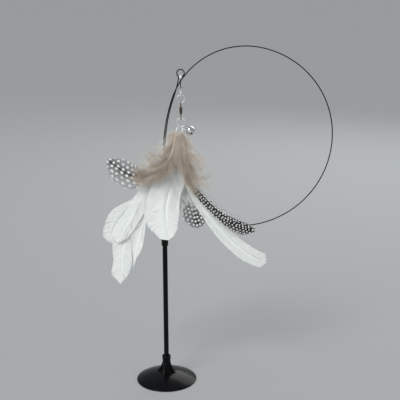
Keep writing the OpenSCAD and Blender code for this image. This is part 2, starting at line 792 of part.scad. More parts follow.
// A feather: a flat tapering body swept along its spine, from its quill in the crimp. Its
// headings, in degrees from straight down, its width and its thickness follow tables by share
// of the length below the crimp's mouth.
module feather(
    place_a, lean, quill, length, width, thickness, layer_y, heading_shares, width_shares, thick_shares
) {
    root = quill_start(place_a, lean, quill);
    mouth = root + quill_depth * hang(lean);
    shown_l = length - quill_depth;
    spine = [
        for (
            i = 0, p = mouth;
            i < feather_rings;
            p = p + shown_l * (ring_share(i + 1) - ring_share(i))
                * hang(lookup((ring_share(i) + ring_share(i + 1)) / 2, heading_shares)),
            i = i + 1
        )
            [p[0], mouth[1] + settled(ring_share(i) * shown_l) * (layer_y - mouth[1]), p[2]]
    ];
    points = [
        for (i = [-1 : feather_rings - 1])
            let (
                share = ring_share(max(i, 0)),
                side = i < 0 ? beside(lean) : beside(lookup(share, heading_shares)),
                half_w = max(quill_r, width * lookup(share, width_shares) / 2),
                half_t = max(quill_r, thickness * lookup(share, thick_shares) / 2),
                centre = i < 0 ? root : spine[i]
            )
            for (k = [0 : feather_sides - 1])
                let (
                    point = centre
                        + half_w * cos(360 * k / feather_sides) * side
                        + half_t * sin(360 * k / feather_sides) * [0, 1, 0]
                )
                    point + (i < 0 ? 0 : settled(share * shown_l) * fan_depth(point)) * [0, 1, 0]
    ];
    polyhedron(points, tube_faces(feather_rings + 1, feather_sides));
}

module white_feather_curled() {
    color("#dfe9e2") feather(
        left_place_a, left_lean, 0, curled_l, curled_w, vane_t, back_layer_y,
        curled_heading_shares,
        curled_width_shares,
        even_thick_shares
    );
}

module white_feather_front() {
    color("#eef1ee") feather(
        left_place_a, left_lean, 2, front_l, front_w, vane_t, front_feather_y + layer_step,
        front_heading_shares,
        front_width_shares,
        even_thick_shares
    );
}

module white_feather_long() {
    color("#e2ebe4") feather(
        left_place_a, left_lean, 1, long_l, long_w, vane_t, back_layer_y - 2 * layer_step,
        long_heading_shares,
        long_width_shares,
        even_thick_shares
    );
}

module white_feather_split() {
    color("#e6eee8") feather(
        left_place_a, left_lean, 4, split_l, split_w, vane_t, back_layer_y - 3 * layer_step,
        split_heading_shares,
        split_width_shares,
        even_thick_shares
    );
}

module white_feather_middle() {
    color("#f0f3f0") feather(
        right_place_a, right_lean, 2, middle_l, middle_w, vane_t, front_feather_y,
        middle_heading_shares,
        middle_width_shares,
        even_thick_shares
    );
}

module white_feather_veil() {
    color("#dcebe3") feather(
        right_place_a, right_lean, 1, veil_l, veil_w, vane_t, back_layer_y - layer_step,
        veil_heading_shares,
        veil_width_shares,
        even_thick_shares
    );
}

module white_feather_sweep() {
    color("#e9efea") feather(
        right_place_a, right_lean, 4, sweep_l, sweep_w, vane_t, back_layer_y - 4 * layer_step,
        sweep_heading_shares,
        sweep_width_shares,
        even_thick_shares
    );
}

module spotted_feather_left() {
    color("#8d7b72") feather(
        left_place_a, left_lean, 3, left_l, left_w, down_t, down_layer_y,
        left_heading_shares,
        left_width_shares,
        left_thick_shares
    );
}

module spotted_feather_right() {
    color("#84736b") feather(
        right_place_a, right_lean, 3, right_l, right_w, down_t, down_layer_y,
        right_heading_shares,
        right_width_shares,
        right_thick_shares
    );
}

module spotted_feather_round() {
    color("#2f5a55") feather(
        right_place_a, right_lean, 0, round_l, round_w, vane_t, back_layer_y,
        round_heading_shares,
        round_width_shares,
        even_thick_shares
    );
}

suction_cup();
stem_tube();
stem_collar();
spring_wire();
clasp_body();
clasp_trigger();
clasp_pin();
clasp_spring();
jump_ring();
swivel_upper_eye();
swivel_barrel();
swivel_lower_eye();
split_ring();
bell_link();
bell_loop();
bell_upper();
bell_lower();
bell_pellet();
crimp_left();
crimp_right();
white_feather_curled();
white_feather_front();
white_feather_long();
white_feather_split();
white_feather_middle();
white_feather_veil();
white_feather_sweep();
spotted_feather_left();
spotted_feather_right();
spotted_feather_round();
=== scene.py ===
import math

import bpy
import numpy as np
from mathutils import Matrix, Vector


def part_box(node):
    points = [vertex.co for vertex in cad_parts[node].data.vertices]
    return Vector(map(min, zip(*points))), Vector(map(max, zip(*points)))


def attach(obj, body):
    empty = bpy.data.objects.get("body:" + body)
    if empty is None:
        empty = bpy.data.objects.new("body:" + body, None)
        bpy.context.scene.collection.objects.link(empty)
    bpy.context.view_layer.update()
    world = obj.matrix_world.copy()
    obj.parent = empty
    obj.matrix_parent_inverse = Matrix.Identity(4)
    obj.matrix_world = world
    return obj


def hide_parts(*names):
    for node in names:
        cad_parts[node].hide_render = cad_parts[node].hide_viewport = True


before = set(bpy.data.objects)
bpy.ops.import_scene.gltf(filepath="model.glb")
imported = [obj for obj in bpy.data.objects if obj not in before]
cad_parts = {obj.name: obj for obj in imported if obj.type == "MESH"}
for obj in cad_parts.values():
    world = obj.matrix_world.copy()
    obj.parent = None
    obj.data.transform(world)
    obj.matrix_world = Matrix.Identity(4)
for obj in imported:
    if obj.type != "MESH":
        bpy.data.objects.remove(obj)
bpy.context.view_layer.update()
metresPerMm = 0.001  # the sizes below are in millimetres, and meshes are made in metres
print("frame loaded")


# A new object in the scene, for a mesh, a lamp or the camera.
def addToScene(name, data):
    added = bpy.data.objects.new(name, data)
    bpy.context.scene.collection.objects.link(added)
    return added


# Points are rows of millimetres. Faces are arrays with one face a row, and each array may have its own count
# of corners. Tones are one number per point, from which a feather's material takes its colour.
def makeObject(name, points, faces, material, tones=None):
    mesh = bpy.data.meshes.new(name)
    mesh.vertices.add(len(points))
    mesh.vertices.foreach_set("co", (np.asarray(points) * metresPerMm).astype(np.float32).ravel())
    corners = np.concatenate([f.ravel() for f in faces]).astype(np.int32)
    counts = np.concatenate([np.full(len(f), f.shape[1]) for f in faces])
    mesh.loops.add(len(corners))
    mesh.loops.foreach_set("vertex_index", corners)
    mesh.polygons.add(len(counts))
    starts = np.concatenate([[0], np.cumsum(counts)[:-1]]).astype(np.int32)
    mesh.polygons.foreach_set("loop_start", starts)
    mesh.polygons.foreach_set("use_smooth", np.ones(len(counts), bool))
    if tones is not None:
        layer = mesh.attributes.new("tone", "FLOAT", "POINT")
        layer.data.foreach_set("value", np.asarray(tones, np.float32).ravel())
    mesh.update(calc_edges=True)
    mesh.validate()
    mesh.materials.append(material)
    return addToScene(name, mesh)


# Directions: vectors divided by their own length.
def unit(v):
    return v / np.maximum(np.linalg.norm(v, axis=-1, keepdims=True), 1e-12)


# Quads between each ring of a grid and the next one, round all its sides.
def gridFaces(rows, sides, closedRows=False):
    i = np.arange(rows if closedRows else rows - 1)[:, None]
    k = np.arange(sides)[None, :]
    here, ahead = i * sides, (i + 1) % rows * sides
    left, right = k, (k + 1) % sides
    return np.stack([here + left, here + right, ahead + right, ahead + left], -1).reshape(-1, 4)


# A tube's wall, and a cap on each end unless it closes on itself.
def tubeFaces(rows, sides, closed=False):
    wall = gridFaces(rows, sides, closed)
    if closed:
        return [wall]
    cap = np.arange(sides)[None]
    return [wall, cap[:, ::-1], (rows - 1) * sides + cap]


# A tube along a path: each ring is centre + r (cos t A + flat sin t B), where A is square to the path and to
# across, and B is square to both. Round ends are rings that shrink as a quarter circle does.
def sweptTube(path, radius, across, sides=16, flat=1.0, closed=False, roundEnds=True):
    path = np.asarray(path, float)
    radius = np.broadcast_to(np.asarray(radius, float), (len(path),))
    if closed:
        tangent = unit(np.roll(path, -1, 0) - np.roll(path, 1, 0))
    else:
        tangent = unit(np.gradient(path, axis=0))
    if roundEnds and not closed:
        turn = np.radians([88, 66, 44, 22])
        start = path[0] - tangent[0] * radius[0] * np.sin(turn)[:, None]
        end = path[-1] + tangent[-1] * radius[-1] * np.sin(turn[::-1])[:, None]
        path = np.concatenate([start, path, end])
        tangent = np.pad(tangent, ((4, 4), (0, 0)), "edge")
        radius = np.concatenate([radius[0] * np.cos(turn), radius, radius[-1] * np.cos(turn[::-1])])
    a = unit(np.cross(np.asarray(across, float), tangent))
    b = np.cross(tangent, a)
    t = np.linspace(0, 2 * np.pi, sides, endpoint=False)[None, :, None]
    rings = path[:, None] + radius[:, None, None] * (np.cos(t) * a[:, None] + flat * np.sin(t) * b[:, None])
    return rings.reshape(-1, 3), tubeFaces(len(path), sides, closed)


# Points at centre + radius (cos a right + sin a up). A full turn stops one step before its start.
def circlePath(centre, radius, right, up, start=0, sweep=360, steps=48):
    turn = np.linspace(0, 1, steps, endpoint=sweep != 360)[:, None]
    a = np.radians(start + sweep * turn)
    return np.asarray(centre) + radius * (np.cos(a) * np.asarray(right) + np.sin(a) * np.asarray(up))


# A closed ring of wire: a tube round a full circle.
def hoop(centre, radius, right, up, wire, steps=48, sides=16, flat=1.0):
    path = circlePath(centre, radius, right, up, steps=steps)
    return sweptTube(path, wire, np.cross(right, up), sides, flat, closed=True)


# A profile of [radius, height] turned about Z: each row becomes a ring of (r cos t, r sin t, height). An open
# profile starts and ends on the axis.
def lathe(profile, segments=96, closed=False):
    profile = np.asarray(profile, float)
    t = np.linspace(0, 2 * np.pi, segments, endpoint=False)
    body = profile if closed else profile[1:-1]
    turned = body[:, None, :1] * np.stack([np.cos(t), np.sin(t)], -1)
    heights = np.broadcast_to(body[:, None, 1:], (len(body), segments, 1))
    points = np.concatenate([turned, heights], -1).reshape(-1, 3)
    faces = [gridFaces(len(body), segments, closed)[:, ::-1]]
    if not closed:
        k = np.arange(segments)
        ahead = (k + 1) % segments
        base = (len(body) - 1) * segments
        faces.append(np.stack([np.full(segments, len(points)), k, ahead], -1))
        faces.append(np.stack([np.full(segments, len(points) + 1), base + ahead, base + k], -1))
        points = np.concatenate([points, [[0, 0, profile[0, 1]], [0, 0, profile[-1, 1]]]])
    return points, faces


# A curve from a to c, (1 - s)^2 a + 2 s (1 - s) b + s^2 c, which leaves and arrives in the directions of b.
def softCorner(a, b, c, steps):
    s = np.linspace(0, 1, steps)[:, None]
    return (1 - s) ** 2 * a + 2 * s * (1 - s) * b + s ** 2 * c


# An outline whose corners are rounded: each is a soft corner that starts and ends a radius from its point.
def roundedProfile(corners, radii, steps=5):
    corners = np.asarray(corners, float)
    rows = []
    for i, r in enumerate(radii):
        before, here, after = corners[i - 1], corners[i], corners[(i + 1) % len(corners)]
        if r == 0:
            rows.append(here[None])
        else:
            start, end = here + unit(before - here) * r, here + unit(after - here) * r
            rows.append(softCorner(start, here, end, steps))
    return np.concatenate(rows)


# The three corners of a shallow groove in a wall. A half below zero lists them from the top down.
def groove(radius, height, half, depth):
    return [[radius, height - half], [radius - depth, height], [radius, height + half]]


# Several meshes as one list of points and faces.
def joined(parts):
    points, faces, shift = [], [], 0
    for p, f in parts:
        points.append(p)
        faces += [q + shift for q in f]
        shift += len(p)
    return np.concatenate(points), faces


# A node's box in millimetres.
def nodeBox(node):
    low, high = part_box(node)
    return np.array(low) / metresPerMm, np.array(high) / metresPerMm


# The middle of a node's box.
def nodeCentre(node):
    low, high = nodeBox(node)
    return (low + high) / 2


# Puts a piece on its body and hides the nodes whose place it takes. The slot name is not used.
def place(made, body, slotName, *nodes):
    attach(made, body)
    if nodes:
        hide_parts(*nodes)


# Sets a node's inputs by name: another node's output is linked, and anything else is the input's value.
def setInputs(tree, node, inputs):
    for key, value in inputs.items():
        if isinstance(value, bpy.types.NodeSocket):
            tree.links.new(value, node.inputs[key])
        else:
            node.inputs[key].default_value = value
    return node


# A shader node with its inputs and its own settings.
def addNode(tree, kind, inputs=None, **settings):
    node = tree.nodes.new("ShaderNode" + kind)
    for key, value in settings.items():
        setattr(node, key, value)
    return setInputs(tree, node, inputs or {})


# Noise on Object coordinates, scale in waves per metre.
def objectNoise(tree, scale, detail=3.0, stretch=(1, 1, 1)):
    coords = addNode(tree, "TexCoord").outputs["Object"]
    stretched = addNode(tree, "Mapping", {"Scale": stretch, "Vector": coords}).outputs["Vector"]
    noise = addNode(tree, "TexNoise", {"Scale": scale, "Detail": detail, "Vector": stretched})
    return noise.outputs["Fac"]


# A value between 0 and 1, moved to between low and high.
def mapRange(tree, value, low, high):
    return addNode(tree, "MapRange", {"Value": value, "To Min": low, "To Max": high}).outputs["Result"]


# A colour that runs through stops of (position, colour) as the value grows.
def colourRamp(tree, value, stops):
    ramp = addNode(tree, "ValToRGB", {"Fac": value})
    elements = ramp.color_ramp.elements
    while len(elements) < len(stops):
        elements.new(0.5)
    for element, (position, colour) in zip(elements, stops):
        element.position = position
        element.color = (*colour, 1)
    return ramp.outputs["Color"]


# A surface lifted by the value, up to the depth in metres.
def bump(tree, value, depth, strength=1.0):
    lifted = addNode(tree, "Bump", {"Height": value, "Distance": depth, "Strength": strength})
    return lifted.outputs["Normal"]


# An empty finish: its material, its node tree and its shader.
def newMaterial(name):
    material = bpy.data.materials.new(name)
    material.use_nodes = True
    tree = material.node_tree
    return material, tree, tree.nodes["Principled BSDF"]


# Moulded rubber or plastic: patches change its colour and gloss a little, and a fine grain lifts its surface.
def mouldedMaterial(name, dark, light, roughness, patchScale, grainScale, grainDepth, specular, coat=0.0,
                    stretch=(1, 1, 1)):
    material, tree, shader = newMaterial(name)
    patches = objectNoise(tree, patchScale, 4.0, stretch)
    grain = objectNoise(tree, grainScale, 2.0, stretch)
    setInputs(tree, shader, {
        "Base Color": colourRamp(tree, patches, [(0, dark), (1, light)]),
        "Roughness": mapRange(tree, patches, *roughness), "Normal": bump(tree, grain, grainDepth),
        "Coat Weight": coat, "Coat Roughness": 0.12, "Specular IOR Level": specular})
    return material


# Plated metal: faint cloudy tarnish, and fine handling marks in its gloss.
def metalMaterial(name, dark, light, roughness, markScale, markDepth=0.00001):
    material, tree, shader = newMaterial(name)
    cloud = objectNoise(tree, markScale / 5)
    marks = objectNoise(tree, markScale, 4.0, (1, 1, 3))
    setInputs(tree, shader, {
        "Base Color": colourRamp(tree, cloud, [(0, dark), (1, light)]),
        "Roughness": mapRange(tree, marks, *roughness), "Normal": bump(tree, marks, markDepth, 0.6),
        "Metallic": 1.0})
    return material


# Barbs and quills: the colour runs from stop to stop with the piece's own tones, which noise mottles.
def featherMaterial(name, stops, roughness=0.62, sheen=0.25, mottling=0.06, mottleScale=260):
    material, tree, shader = newMaterial(name)
    tone = addNode(tree, "Attribute", attribute_name="tone").outputs["Fac"]
    noise = mapRange(tree, objectNoise(tree, mottleScale), -mottling, mottling)
    mottled = addNode(tree, "Math", {0: tone, 1: noise}, operation="ADD").outputs[0]
    setInputs(tree, shader, {
        "Base Color": colourRamp(tree, mottled, stops), "Roughness": roughness, "Sheen Weight": sheen,
        "Sheen Roughness": 0.4, "Specular IOR Level": 0.3})
    return material


rubberBlack = mouldedMaterial(
    "rubberBlack", dark=(0.0015, 0.0015, 0.002), light=(0.004, 0.004, 0.005), roughness=(0.16, 0.34),
    patchScale=60, grainScale=1400, grainDepth=0.00003, specular=0.08, coat=0.12)
rodBlack = mouldedMaterial(
    "rodBlack", dark=(0.002, 0.002, 0.0025), light=(0.006, 0.006, 0.007), roughness=(0.26, 0.4),
    patchScale=90, grainScale=2600, grainDepth=0.00002, specular=0.12, stretch=(1, 1, 0.06))
capBlack = mouldedMaterial(
    "capBlack", dark=(0.002, 0.002, 0.0025), light=(0.005, 0.005, 0.006), roughness=(0.2, 0.32),
    patchScale=200, grainScale=2200, grainDepth=0.00002, specular=0.12, coat=0.08)
wireBlack = mouldedMaterial(
    "wireBlack", dark=(0.002, 0.002, 0.002), light=(0.006, 0.006, 0.006), roughness=(0.26, 0.42),
    patchScale=120, grainScale=3200, grainDepth=0.00001, specular=0.12)
platedBright = metalMaterial(
    "platedBright", dark=(0.88, 0.89, 0.91), light=(0.97, 0.975, 0.98), roughness=(0.46, 0.6), markScale=1500)
crimpBright = metalMaterial(
    "crimpBright", dark=(0.9, 0.885, 0.86), light=(0.98, 0.965, 0.945), roughness=(0.42, 0.56),
    markScale=1500)
bellBright = metalMaterial(
    "bellBright", dark=(0.66, 0.66, 0.68), light=(0.84, 0.84, 0.85), roughness=(0.06, 0.16), markScale=1200)
springSteel = metalMaterial(
    "springSteel", dark=(0.08, 0.08, 0.085), light=(0.18, 0.18, 0.19), roughness=(0.22, 0.36), markScale=2400)
darkPlate = metalMaterial(
    "darkPlate", dark=(0.07, 0.05, 0.042), light=(0.2, 0.15, 0.12), roughness=(0.22, 0.38), markScale=1500)
whiteVane = featherMaterial(
    "whiteVane", [(0, (0.8, 0.83, 0.78)), (0.35, (0.9, 0.93, 0.9)), (1, (0.97, 0.98, 0.97))])
quillCream = featherMaterial(
    "quillCream", [(0, (0.85, 0.76, 0.66)), (0.3, (0.93, 0.92, 0.88)), (1, (0.96, 0.96, 0.94))],
    roughness=0.4, sheen=0)
brownDown = featherMaterial(
    "brownDown", [(0, (0.18, 0.12, 0.086)), (0.45, (0.46, 0.345, 0.252)), (1, (0.82, 0.735, 0.63))],
    mottling=0.12)
spottedVane = featherMaterial(
    "spottedVane", [(0, (0.006, 0.006, 0.008)), (0.4, (0.02, 0.02, 0.024)), (0.62, (0.88, 0.86, 0.84)),
                    (1, (0.97, 0.96, 0.95))], sheen=0, mottling=0.05)
spottedQuill = featherMaterial(
    "spottedQuill", [(0, (0.7, 0.56, 0.48)), (0.2, (0.78, 0.67, 0.56)), (0.36, (0.5, 0.4, 0.33)),
                     (0.48, (0.05, 0.04, 0.035)), (0.6, (0.006, 0.006, 0.006)), (1, (0.004, 0.004, 0.004))],
    roughness=0.35, sheen=0)
print("materials made")

cup = {
    "rimRadius": 30, "edgeHeight": 0.9, "edgeRound": 0.15, "edgeRise": 0.55, "landWidth": 2.5,
    "domeHeight": 7.6, "domeInset": 2, "hollowHeight": 5.6, "neckRadius": 4.1, "neckHeight": 25.8,
    "neckBlend": 3.2, "blendRise": 0.6, "lipLength": 2.4, "lipFade": 0.6, "lipBulge": 0.25,
    "socketRadius": 2.45, "socketDepth": 14, "fins": 4, "finTurn": -18, "finThickness": 1.6,
    "finReach": 9.8, "finTop": 18.8, "finSag": 0.8, "finRoot": 1.4, "finFoot": 0.8, "finLap": 0.1,
    "finInside": 1.2, "segments": 128,
}


# Rows of [radius, height] on a cap's arc. The arc's own radius is half the sum of base squared over height
# and height.
def capArc(baseRadius, height, foot, start, end, steps):
    arc = (baseRadius ** 2 / height + height) / 2
    r = np.linspace(start, end, steps)
    return np.stack([r, foot + height - arc + np.sqrt(arc ** 2 - r ** 2)], -1)


# Profile: under the hollow's arc, out over the rim, up the dome's arc, a concave blend into the neck, over
# its lip and down into the socket.
def makeCup(c):
    rim, edge, neck, top = c["rimRadius"], c["edgeHeight"], c["neckRadius"], c["neckHeight"]
    land, socket, floor = rim - c["landWidth"], c["socketRadius"], top - c["socketDepth"]
    hollow = capArc(land, c["hollowHeight"], 0, 0, land, 24)
    outer = roundedProfile(
        [[land, 0], [rim - c["edgeRound"], 0], [rim, edge / 2], [rim - 0.8 * c["edgeRound"], edge],
         [rim - 8 * c["edgeRound"], edge + c["edgeRise"]]], [0, 0.1, 0.3, 0.1, 0], 4)
    dome = capArc(rim, c["domeHeight"], edge, rim - c["domeInset"], neck + c["neckBlend"], 26)
    foot = dome[-1, 1]
    corner = np.array([neck, foot + c["blendRise"] / 3])
    blend = softCorner(dome[-1], corner, np.array([neck, foot + c["neckBlend"] + c["blendRise"]]), 12)
    bulge, low = neck + c["lipBulge"], top - c["lipLength"]
    lip = roundedProfile([[neck, low - c["lipFade"]], [bulge, low], [bulge, top], [socket, top],
                          [socket, floor]], [0.2, 0.3, 0.5, 0.35, 0])
    profile = np.concatenate([hollow, outer[1:], dome, blend[1:], lip, [[0, floor]]])
    turns = [math.radians(c["finTurn"] + 360 * i / c["fins"]) for i in range(c["fins"])]
    parts = [lathe(profile, c["segments"]), *(makeFin(c, turn) for turn in turns)]
    return makeObject("suctionCup", *joined(parts), rubberBlack)


# A gusset: for each height a strip from inside the neck out to a sagging edge. Its section is an oval squared
# up by powers below 1 of the cosine and sine.
def makeFin(c, angle):
    rows, sides = 20, 20
    heights = np.linspace(c["domeHeight"] - c["finRoot"], c["finTop"], rows)
    share = (heights - c["domeHeight"]) / (c["finTop"] - c["domeHeight"])
    up = np.clip(share, 0, 1)
    inner = c["neckRadius"] - c["finInside"]
    outer = c["finReach"] + (c["neckRadius"] + c["finLap"] - c["finReach"]) * up
    outer = outer - c["finSag"] * 4 * up * (1 - up) + np.where(share < 0, c["finFoot"], 0)
    t = np.linspace(0, 2 * np.pi, sides, endpoint=False)
    across = np.sign(np.cos(t)) * np.abs(np.cos(t)) ** 0.35
    thick = np.sign(np.sin(t)) * np.abs(np.sin(t)) ** 0.6
    radial = ((inner + outer) / 2)[:, None] + ((outer - inner) / 2)[:, None] * across
    side = np.broadcast_to(c["finThickness"] / 2 * thick, radial.shape)
    x = radial * math.cos(angle) - side * math.sin(angle)
    y = radial * math.sin(angle) + side * math.cos(angle)
    points = np.stack([x, y, np.broadcast_to(heights[:, None], radial.shape)], -1)
    return points.reshape(-1, 3), tubeFaces(rows, sides)


place(makeCup(cup), "base", "cup_rubber", "suction_cup")

rod = {"radius": 2.4, "wall": 0.9, "bottom": 11.8, "top": 145.8, "edge": 0.25}
collar = {"radius": 3.3, "bottom": 141.8, "top": 149.6, "bevel": 0.8, "edge": 0.45, "socket": 2.45,
          "mouthTop": 1.6, "mouthBottom": 0.65, "mouthDepth": 2.8, "web": 0.4, "ringHeight": 5.2,
          "ringHalf": 0.25, "ringDepth": 0.18, "axisGap": 0.01}


# A tube with rounded ends: outside wall up, over the lip and down the bore to its closed foot.
def makeRod(c):
    inner, floor = c["radius"] - c["wall"], c["bottom"] + c["wall"]
    corners = [[0, c["bottom"]], [c["radius"], c["bottom"]], [c["radius"], c["top"]], [inner, c["top"]],
               [inner, floor], [0, floor]]
    points, faces = lathe(roundedProfile(corners, [0, c["edge"], c["edge"], c["edge"], 0, 0]), 64)
    return makeObject("stemTube", points, faces, rodBlack)


# End cap: bevelled foot, a shallow ring groove, a rounded crown and the flared mouth for the wire. The closed
# profile runs up beside the axis, a hair away from it.
def makeCollar(c):
    mouth = c["top"] - c["mouthDepth"]
    corners = [
        [c["socket"], c["bottom"]], [c["radius"] - c["bevel"] / 2, c["bottom"]],
        [c["radius"], c["bottom"] + c["bevel"]],
        *groove(c["radius"], c["bottom"] + c["ringHeight"], c["ringHalf"], c["ringDepth"]),
        [c["radius"], c["top"]], [c["mouthTop"], c["top"]], [c["mouthBottom"], mouth], [c["axisGap"], mouth],
        [c["axisGap"], mouth - c["web"]], [c["socket"], mouth - c["web"]]]
    radii = [0.1, 0.2, 0.25, 0.1, 0.1, 0.1, c["edge"], 0.25, 0.1, 0, 0, 0]
    points, faces = lathe(roundedProfile(corners, radii), 72, closed=True)
    return makeObject("stemCollar", points, faces, capBlack)


place(makeRod(rod), "rod", "rod_plastic", "stem_tube")
place(makeCollar(collar), "rod", "cap_plastic", "stem_collar")
print("cup and rod made")

# Legs are [radius, sweep in degrees], or [length, 0] where straight. Headings turn clockwise from up.
wire = {
    "radius": 0.52, "start": 147, "rise": 87.4, "leanRadius": 158, "lean": 19, "shoulderRadius": 72,
    "shoulder": 80, "sideRadius": 85, "lowerRadius": 89, "passPitch": 1.2, "tilt": 2.4, "neckRadius": 60,
    "neckLength": 3.5, "eyeRadius": 3.5, "eyeSweep": 345, "eyePitch": 1.0, "eyeJoin": 228,
    "neckPull": (6, 2.2), "sides": 14,
}


# Points along one leg: heading a moves by [sin a, cos a], and an arc turns about its centre.
def legPoints(start, heading, leg, steps):
    share = np.linspace(0, 1, steps + 1)[1:, None]
    size, sweep = leg[0], math.radians(leg[1])
    if sweep == 0:
        return start + size * share * [math.sin(heading), math.cos(heading)], heading
    reach = math.copysign(size, sweep)
    turned = heading + sweep * share
    centre = start + reach * np.array([math.cos(heading), -math.sin(heading)])
    return centre + reach * np.concatenate([-np.cos(turned), np.sin(turned)], 1), heading + sweep


# The first pass lies in Y = 0. From the loop's right side on, the wire leans back by its tilt. After the
# second pass a curve pulled two ways leads to the eye, which winds back to pass behind its neck.
def wirePath(c):
    rise, lean = [c["rise"], 0], [c["leanRadius"], c["lean"]]
    legs = [rise, lean, [c["shoulderRadius"], c["shoulder"]],
            [c["sideRadius"], 180 - c["lean"] - c["shoulder"]], [c["lowerRadius"], 90]]
    at, heading = np.array([0.0, c["start"]]), 0.0
    rows = [at[None]]
    for leg in legs:
        points, heading = legPoints(at, heading, leg, 48 if leg[1] else 24)
        rows.append(points)
        at = points[-1]
    rightX, firstPass = rows[-2][-1, 0], sum(len(points) for points in rows[:-1])
    back = at[0] - c["passPitch"]
    for leg in [[back, 90], [c["start"] + c["rise"] - at[1] - back, 0], lean]:
        points, heading = legPoints(at, heading, leg, 56 if leg[1] else 6)
        rows.append(points)
        at = points[-1]
    bent = legPoints(at, heading, [c["neckRadius"], -c["lean"]], 56)[0]
    eyeCentre = bent[-1] + [c["eyeRadius"], c["neckLength"]]
    join = math.radians(c["eyeJoin"])
    foot = eyeCentre + c["eyeRadius"] * np.array([math.cos(join), math.sin(join)])
    leave = at + c["neckPull"][0] * np.array([math.sin(heading), math.cos(heading)])
    arrive = foot - c["neckPull"][1] * np.array([math.sin(join), -math.cos(join)])
    s = np.linspace(0, 1, 25)[1:, None]
    pulled = 3 * s * (1 - s) ** 2 * leave + 3 * s ** 2 * (1 - s) * arrive
    rows.append((1 - s) ** 3 * at + pulled + s ** 3 * foot)
    wound = np.linspace(0, 1, 57)[1:]
    turned = join - np.radians(c["eyeSweep"]) * wound[:, None]
    rows.append(eyeCentre + c["eyeRadius"] * np.concatenate([np.cos(turned), np.sin(turned)], 1))
    flat = np.concatenate(rows)
    leans = np.arange(len(flat)) > firstPass
    depth = np.where(leans, (rightX - flat[:, 0]) * math.tan(math.radians(c["tilt"])), 0)
    depth[-len(wound):] += np.linspace(0, c["eyePitch"], len(wound))
    return np.stack([flat[:, 0], depth, flat[:, 1]], -1)


points, faces = sweptTube(wirePath(wire), wire["radius"], (0, 1, 0), wire["sides"])
place(makeObject("springWire", points, faces, wireBlack), "wire", "black_wire", "spring_wire")
print("wire made")

clasp = {
    "width": 2.6, "wall": 1.3, "hookRadius": 1.5, "hookEnd": 172, "sideLength": 8.7, "pinAngle": 18,
    "footGap": 8, "neckRadius": 1.15, "neckWaist": 0.45, "neckLap": 0.5, "neckFlat": 1.05, "eyeOuter": 2.2,
    "eyeHole": 1.15, "eyeFlat": 1.14, "beadRadius": 1.0, "beadWire": 0.34, "beadRise": 0.5,
    "leverRadius": 0.5225, "leverFlat": 0.92, "leverBow": 0.1, "leverDrop": 1.85, "bossHalf": 0.48,
    "bossRadii": (0.5, 0.6, 0.62, 0.62, 0.62, 0.6, 0.5), "pinRadius": 0.38, "pinHalf": 1.25,
    "headFrom": 1.22, "headTo": 1.42, "headRadii": (0.5, 0.52, 0.4, 0.16), "leafRadius": 1.25,
    "leafEnds": (-172, 2), "leafThickness": 0.2, "leafFlat": 4.2,
}
splitCentre, jumpCentre = nodeCentre("split_ring"), nodeCentre("jump_ring")
axisX, axisY = splitCentre[:2]
jumpCentre[0] = axisX
claspLow, claspHigh = nodeBox("clasp_body")
hookMiddle = clasp["hookRadius"] + clasp["wall"] / 2
hookTop = claspHigh[2] - clasp["hookRadius"] - clasp["wall"]  # the middle of the hook's upper bend
hookFoot = hookTop - clasp["sideLength"]
claspEyeZ = claspLow[2] + clasp["eyeOuter"]
pinDepth = -hookMiddle * math.cos(math.radians(clasp["pinAngle"]))
pinZ = hookFoot - hookMiddle * math.sin(math.radians(clasp["pinAngle"]))


# Points of the plane that the clip's outline lies in.
def sideways(depth, height):
    return np.stack([np.full_like(depth, axisX), axisY + depth, height], -1)


# An arc in that plane: depth r cos a, and height r sin a above its centre.
def hookArc(radius, height, start, end, steps):
    a = np.radians(np.linspace(start, end, steps))
    return sideways(radius * np.cos(a), height + radius * np.sin(a))


# Even steps up or down the chain's axis.
def onAxis(start, end, steps):
    return np.linspace((axisX, axisY, start), (axisX, axisY, end), steps)


# Even steps along the pin's line, from and to a distance right of the clip's middle.
def onPin(start, end, steps):
    y = axisY + pinDepth
    return np.linspace((axisX + start, y, pinZ), (axisX + end, y, pinZ), steps)


# One flat oval bar bent along the hook's outline: from the neck up the back, round the top bend to the gate,
# and a second one from the neck round the foot to the lever's pin. The eye below is a flat ring, with a bead
# round the neck above it.
def makeClaspBody(c):
    back = np.concatenate([hookArc(hookMiddle, hookFoot, -90, 0, 14),
                           hookArc(hookMiddle, hookTop, 0, c["hookEnd"], 30)])
    front = hookArc(hookMiddle, hookFoot, -90, -180 + c["pinAngle"] + c["footGap"], 14)
    flat = c["width"] / c["wall"]
    parts = [sweptTube(path, c["wall"] / 2, (1, 0, 0), 20, flat) for path in (back, front)]
    neck = onAxis(hookFoot - hookMiddle, claspEyeZ + c["eyeHole"] + c["neckLap"], 12)
    waist = c["neckRadius"] - c["neckWaist"] * np.sin(np.linspace(0, math.pi, 12))
    parts.append(sweptTube(neck, waist, (0, 1, 0), 20, c["neckFlat"]))
    parts.append(hoop((axisX, axisY, claspEyeZ), (c["eyeOuter"] + c["eyeHole"]) / 2, (0, 1, 0), (0, 0, 1),
                      (c["eyeOuter"] - c["eyeHole"]) / 2, flat=c["eyeFlat"]))
    parts.append(hoop((axisX, axisY, claspEyeZ + c["eyeOuter"] + c["beadRise"]), c["beadRadius"], (1, 0, 0),
                      (0, 1, 0), c["beadWire"], sides=12))
    return makeObject("claspBody", *joined(parts), platedBright)


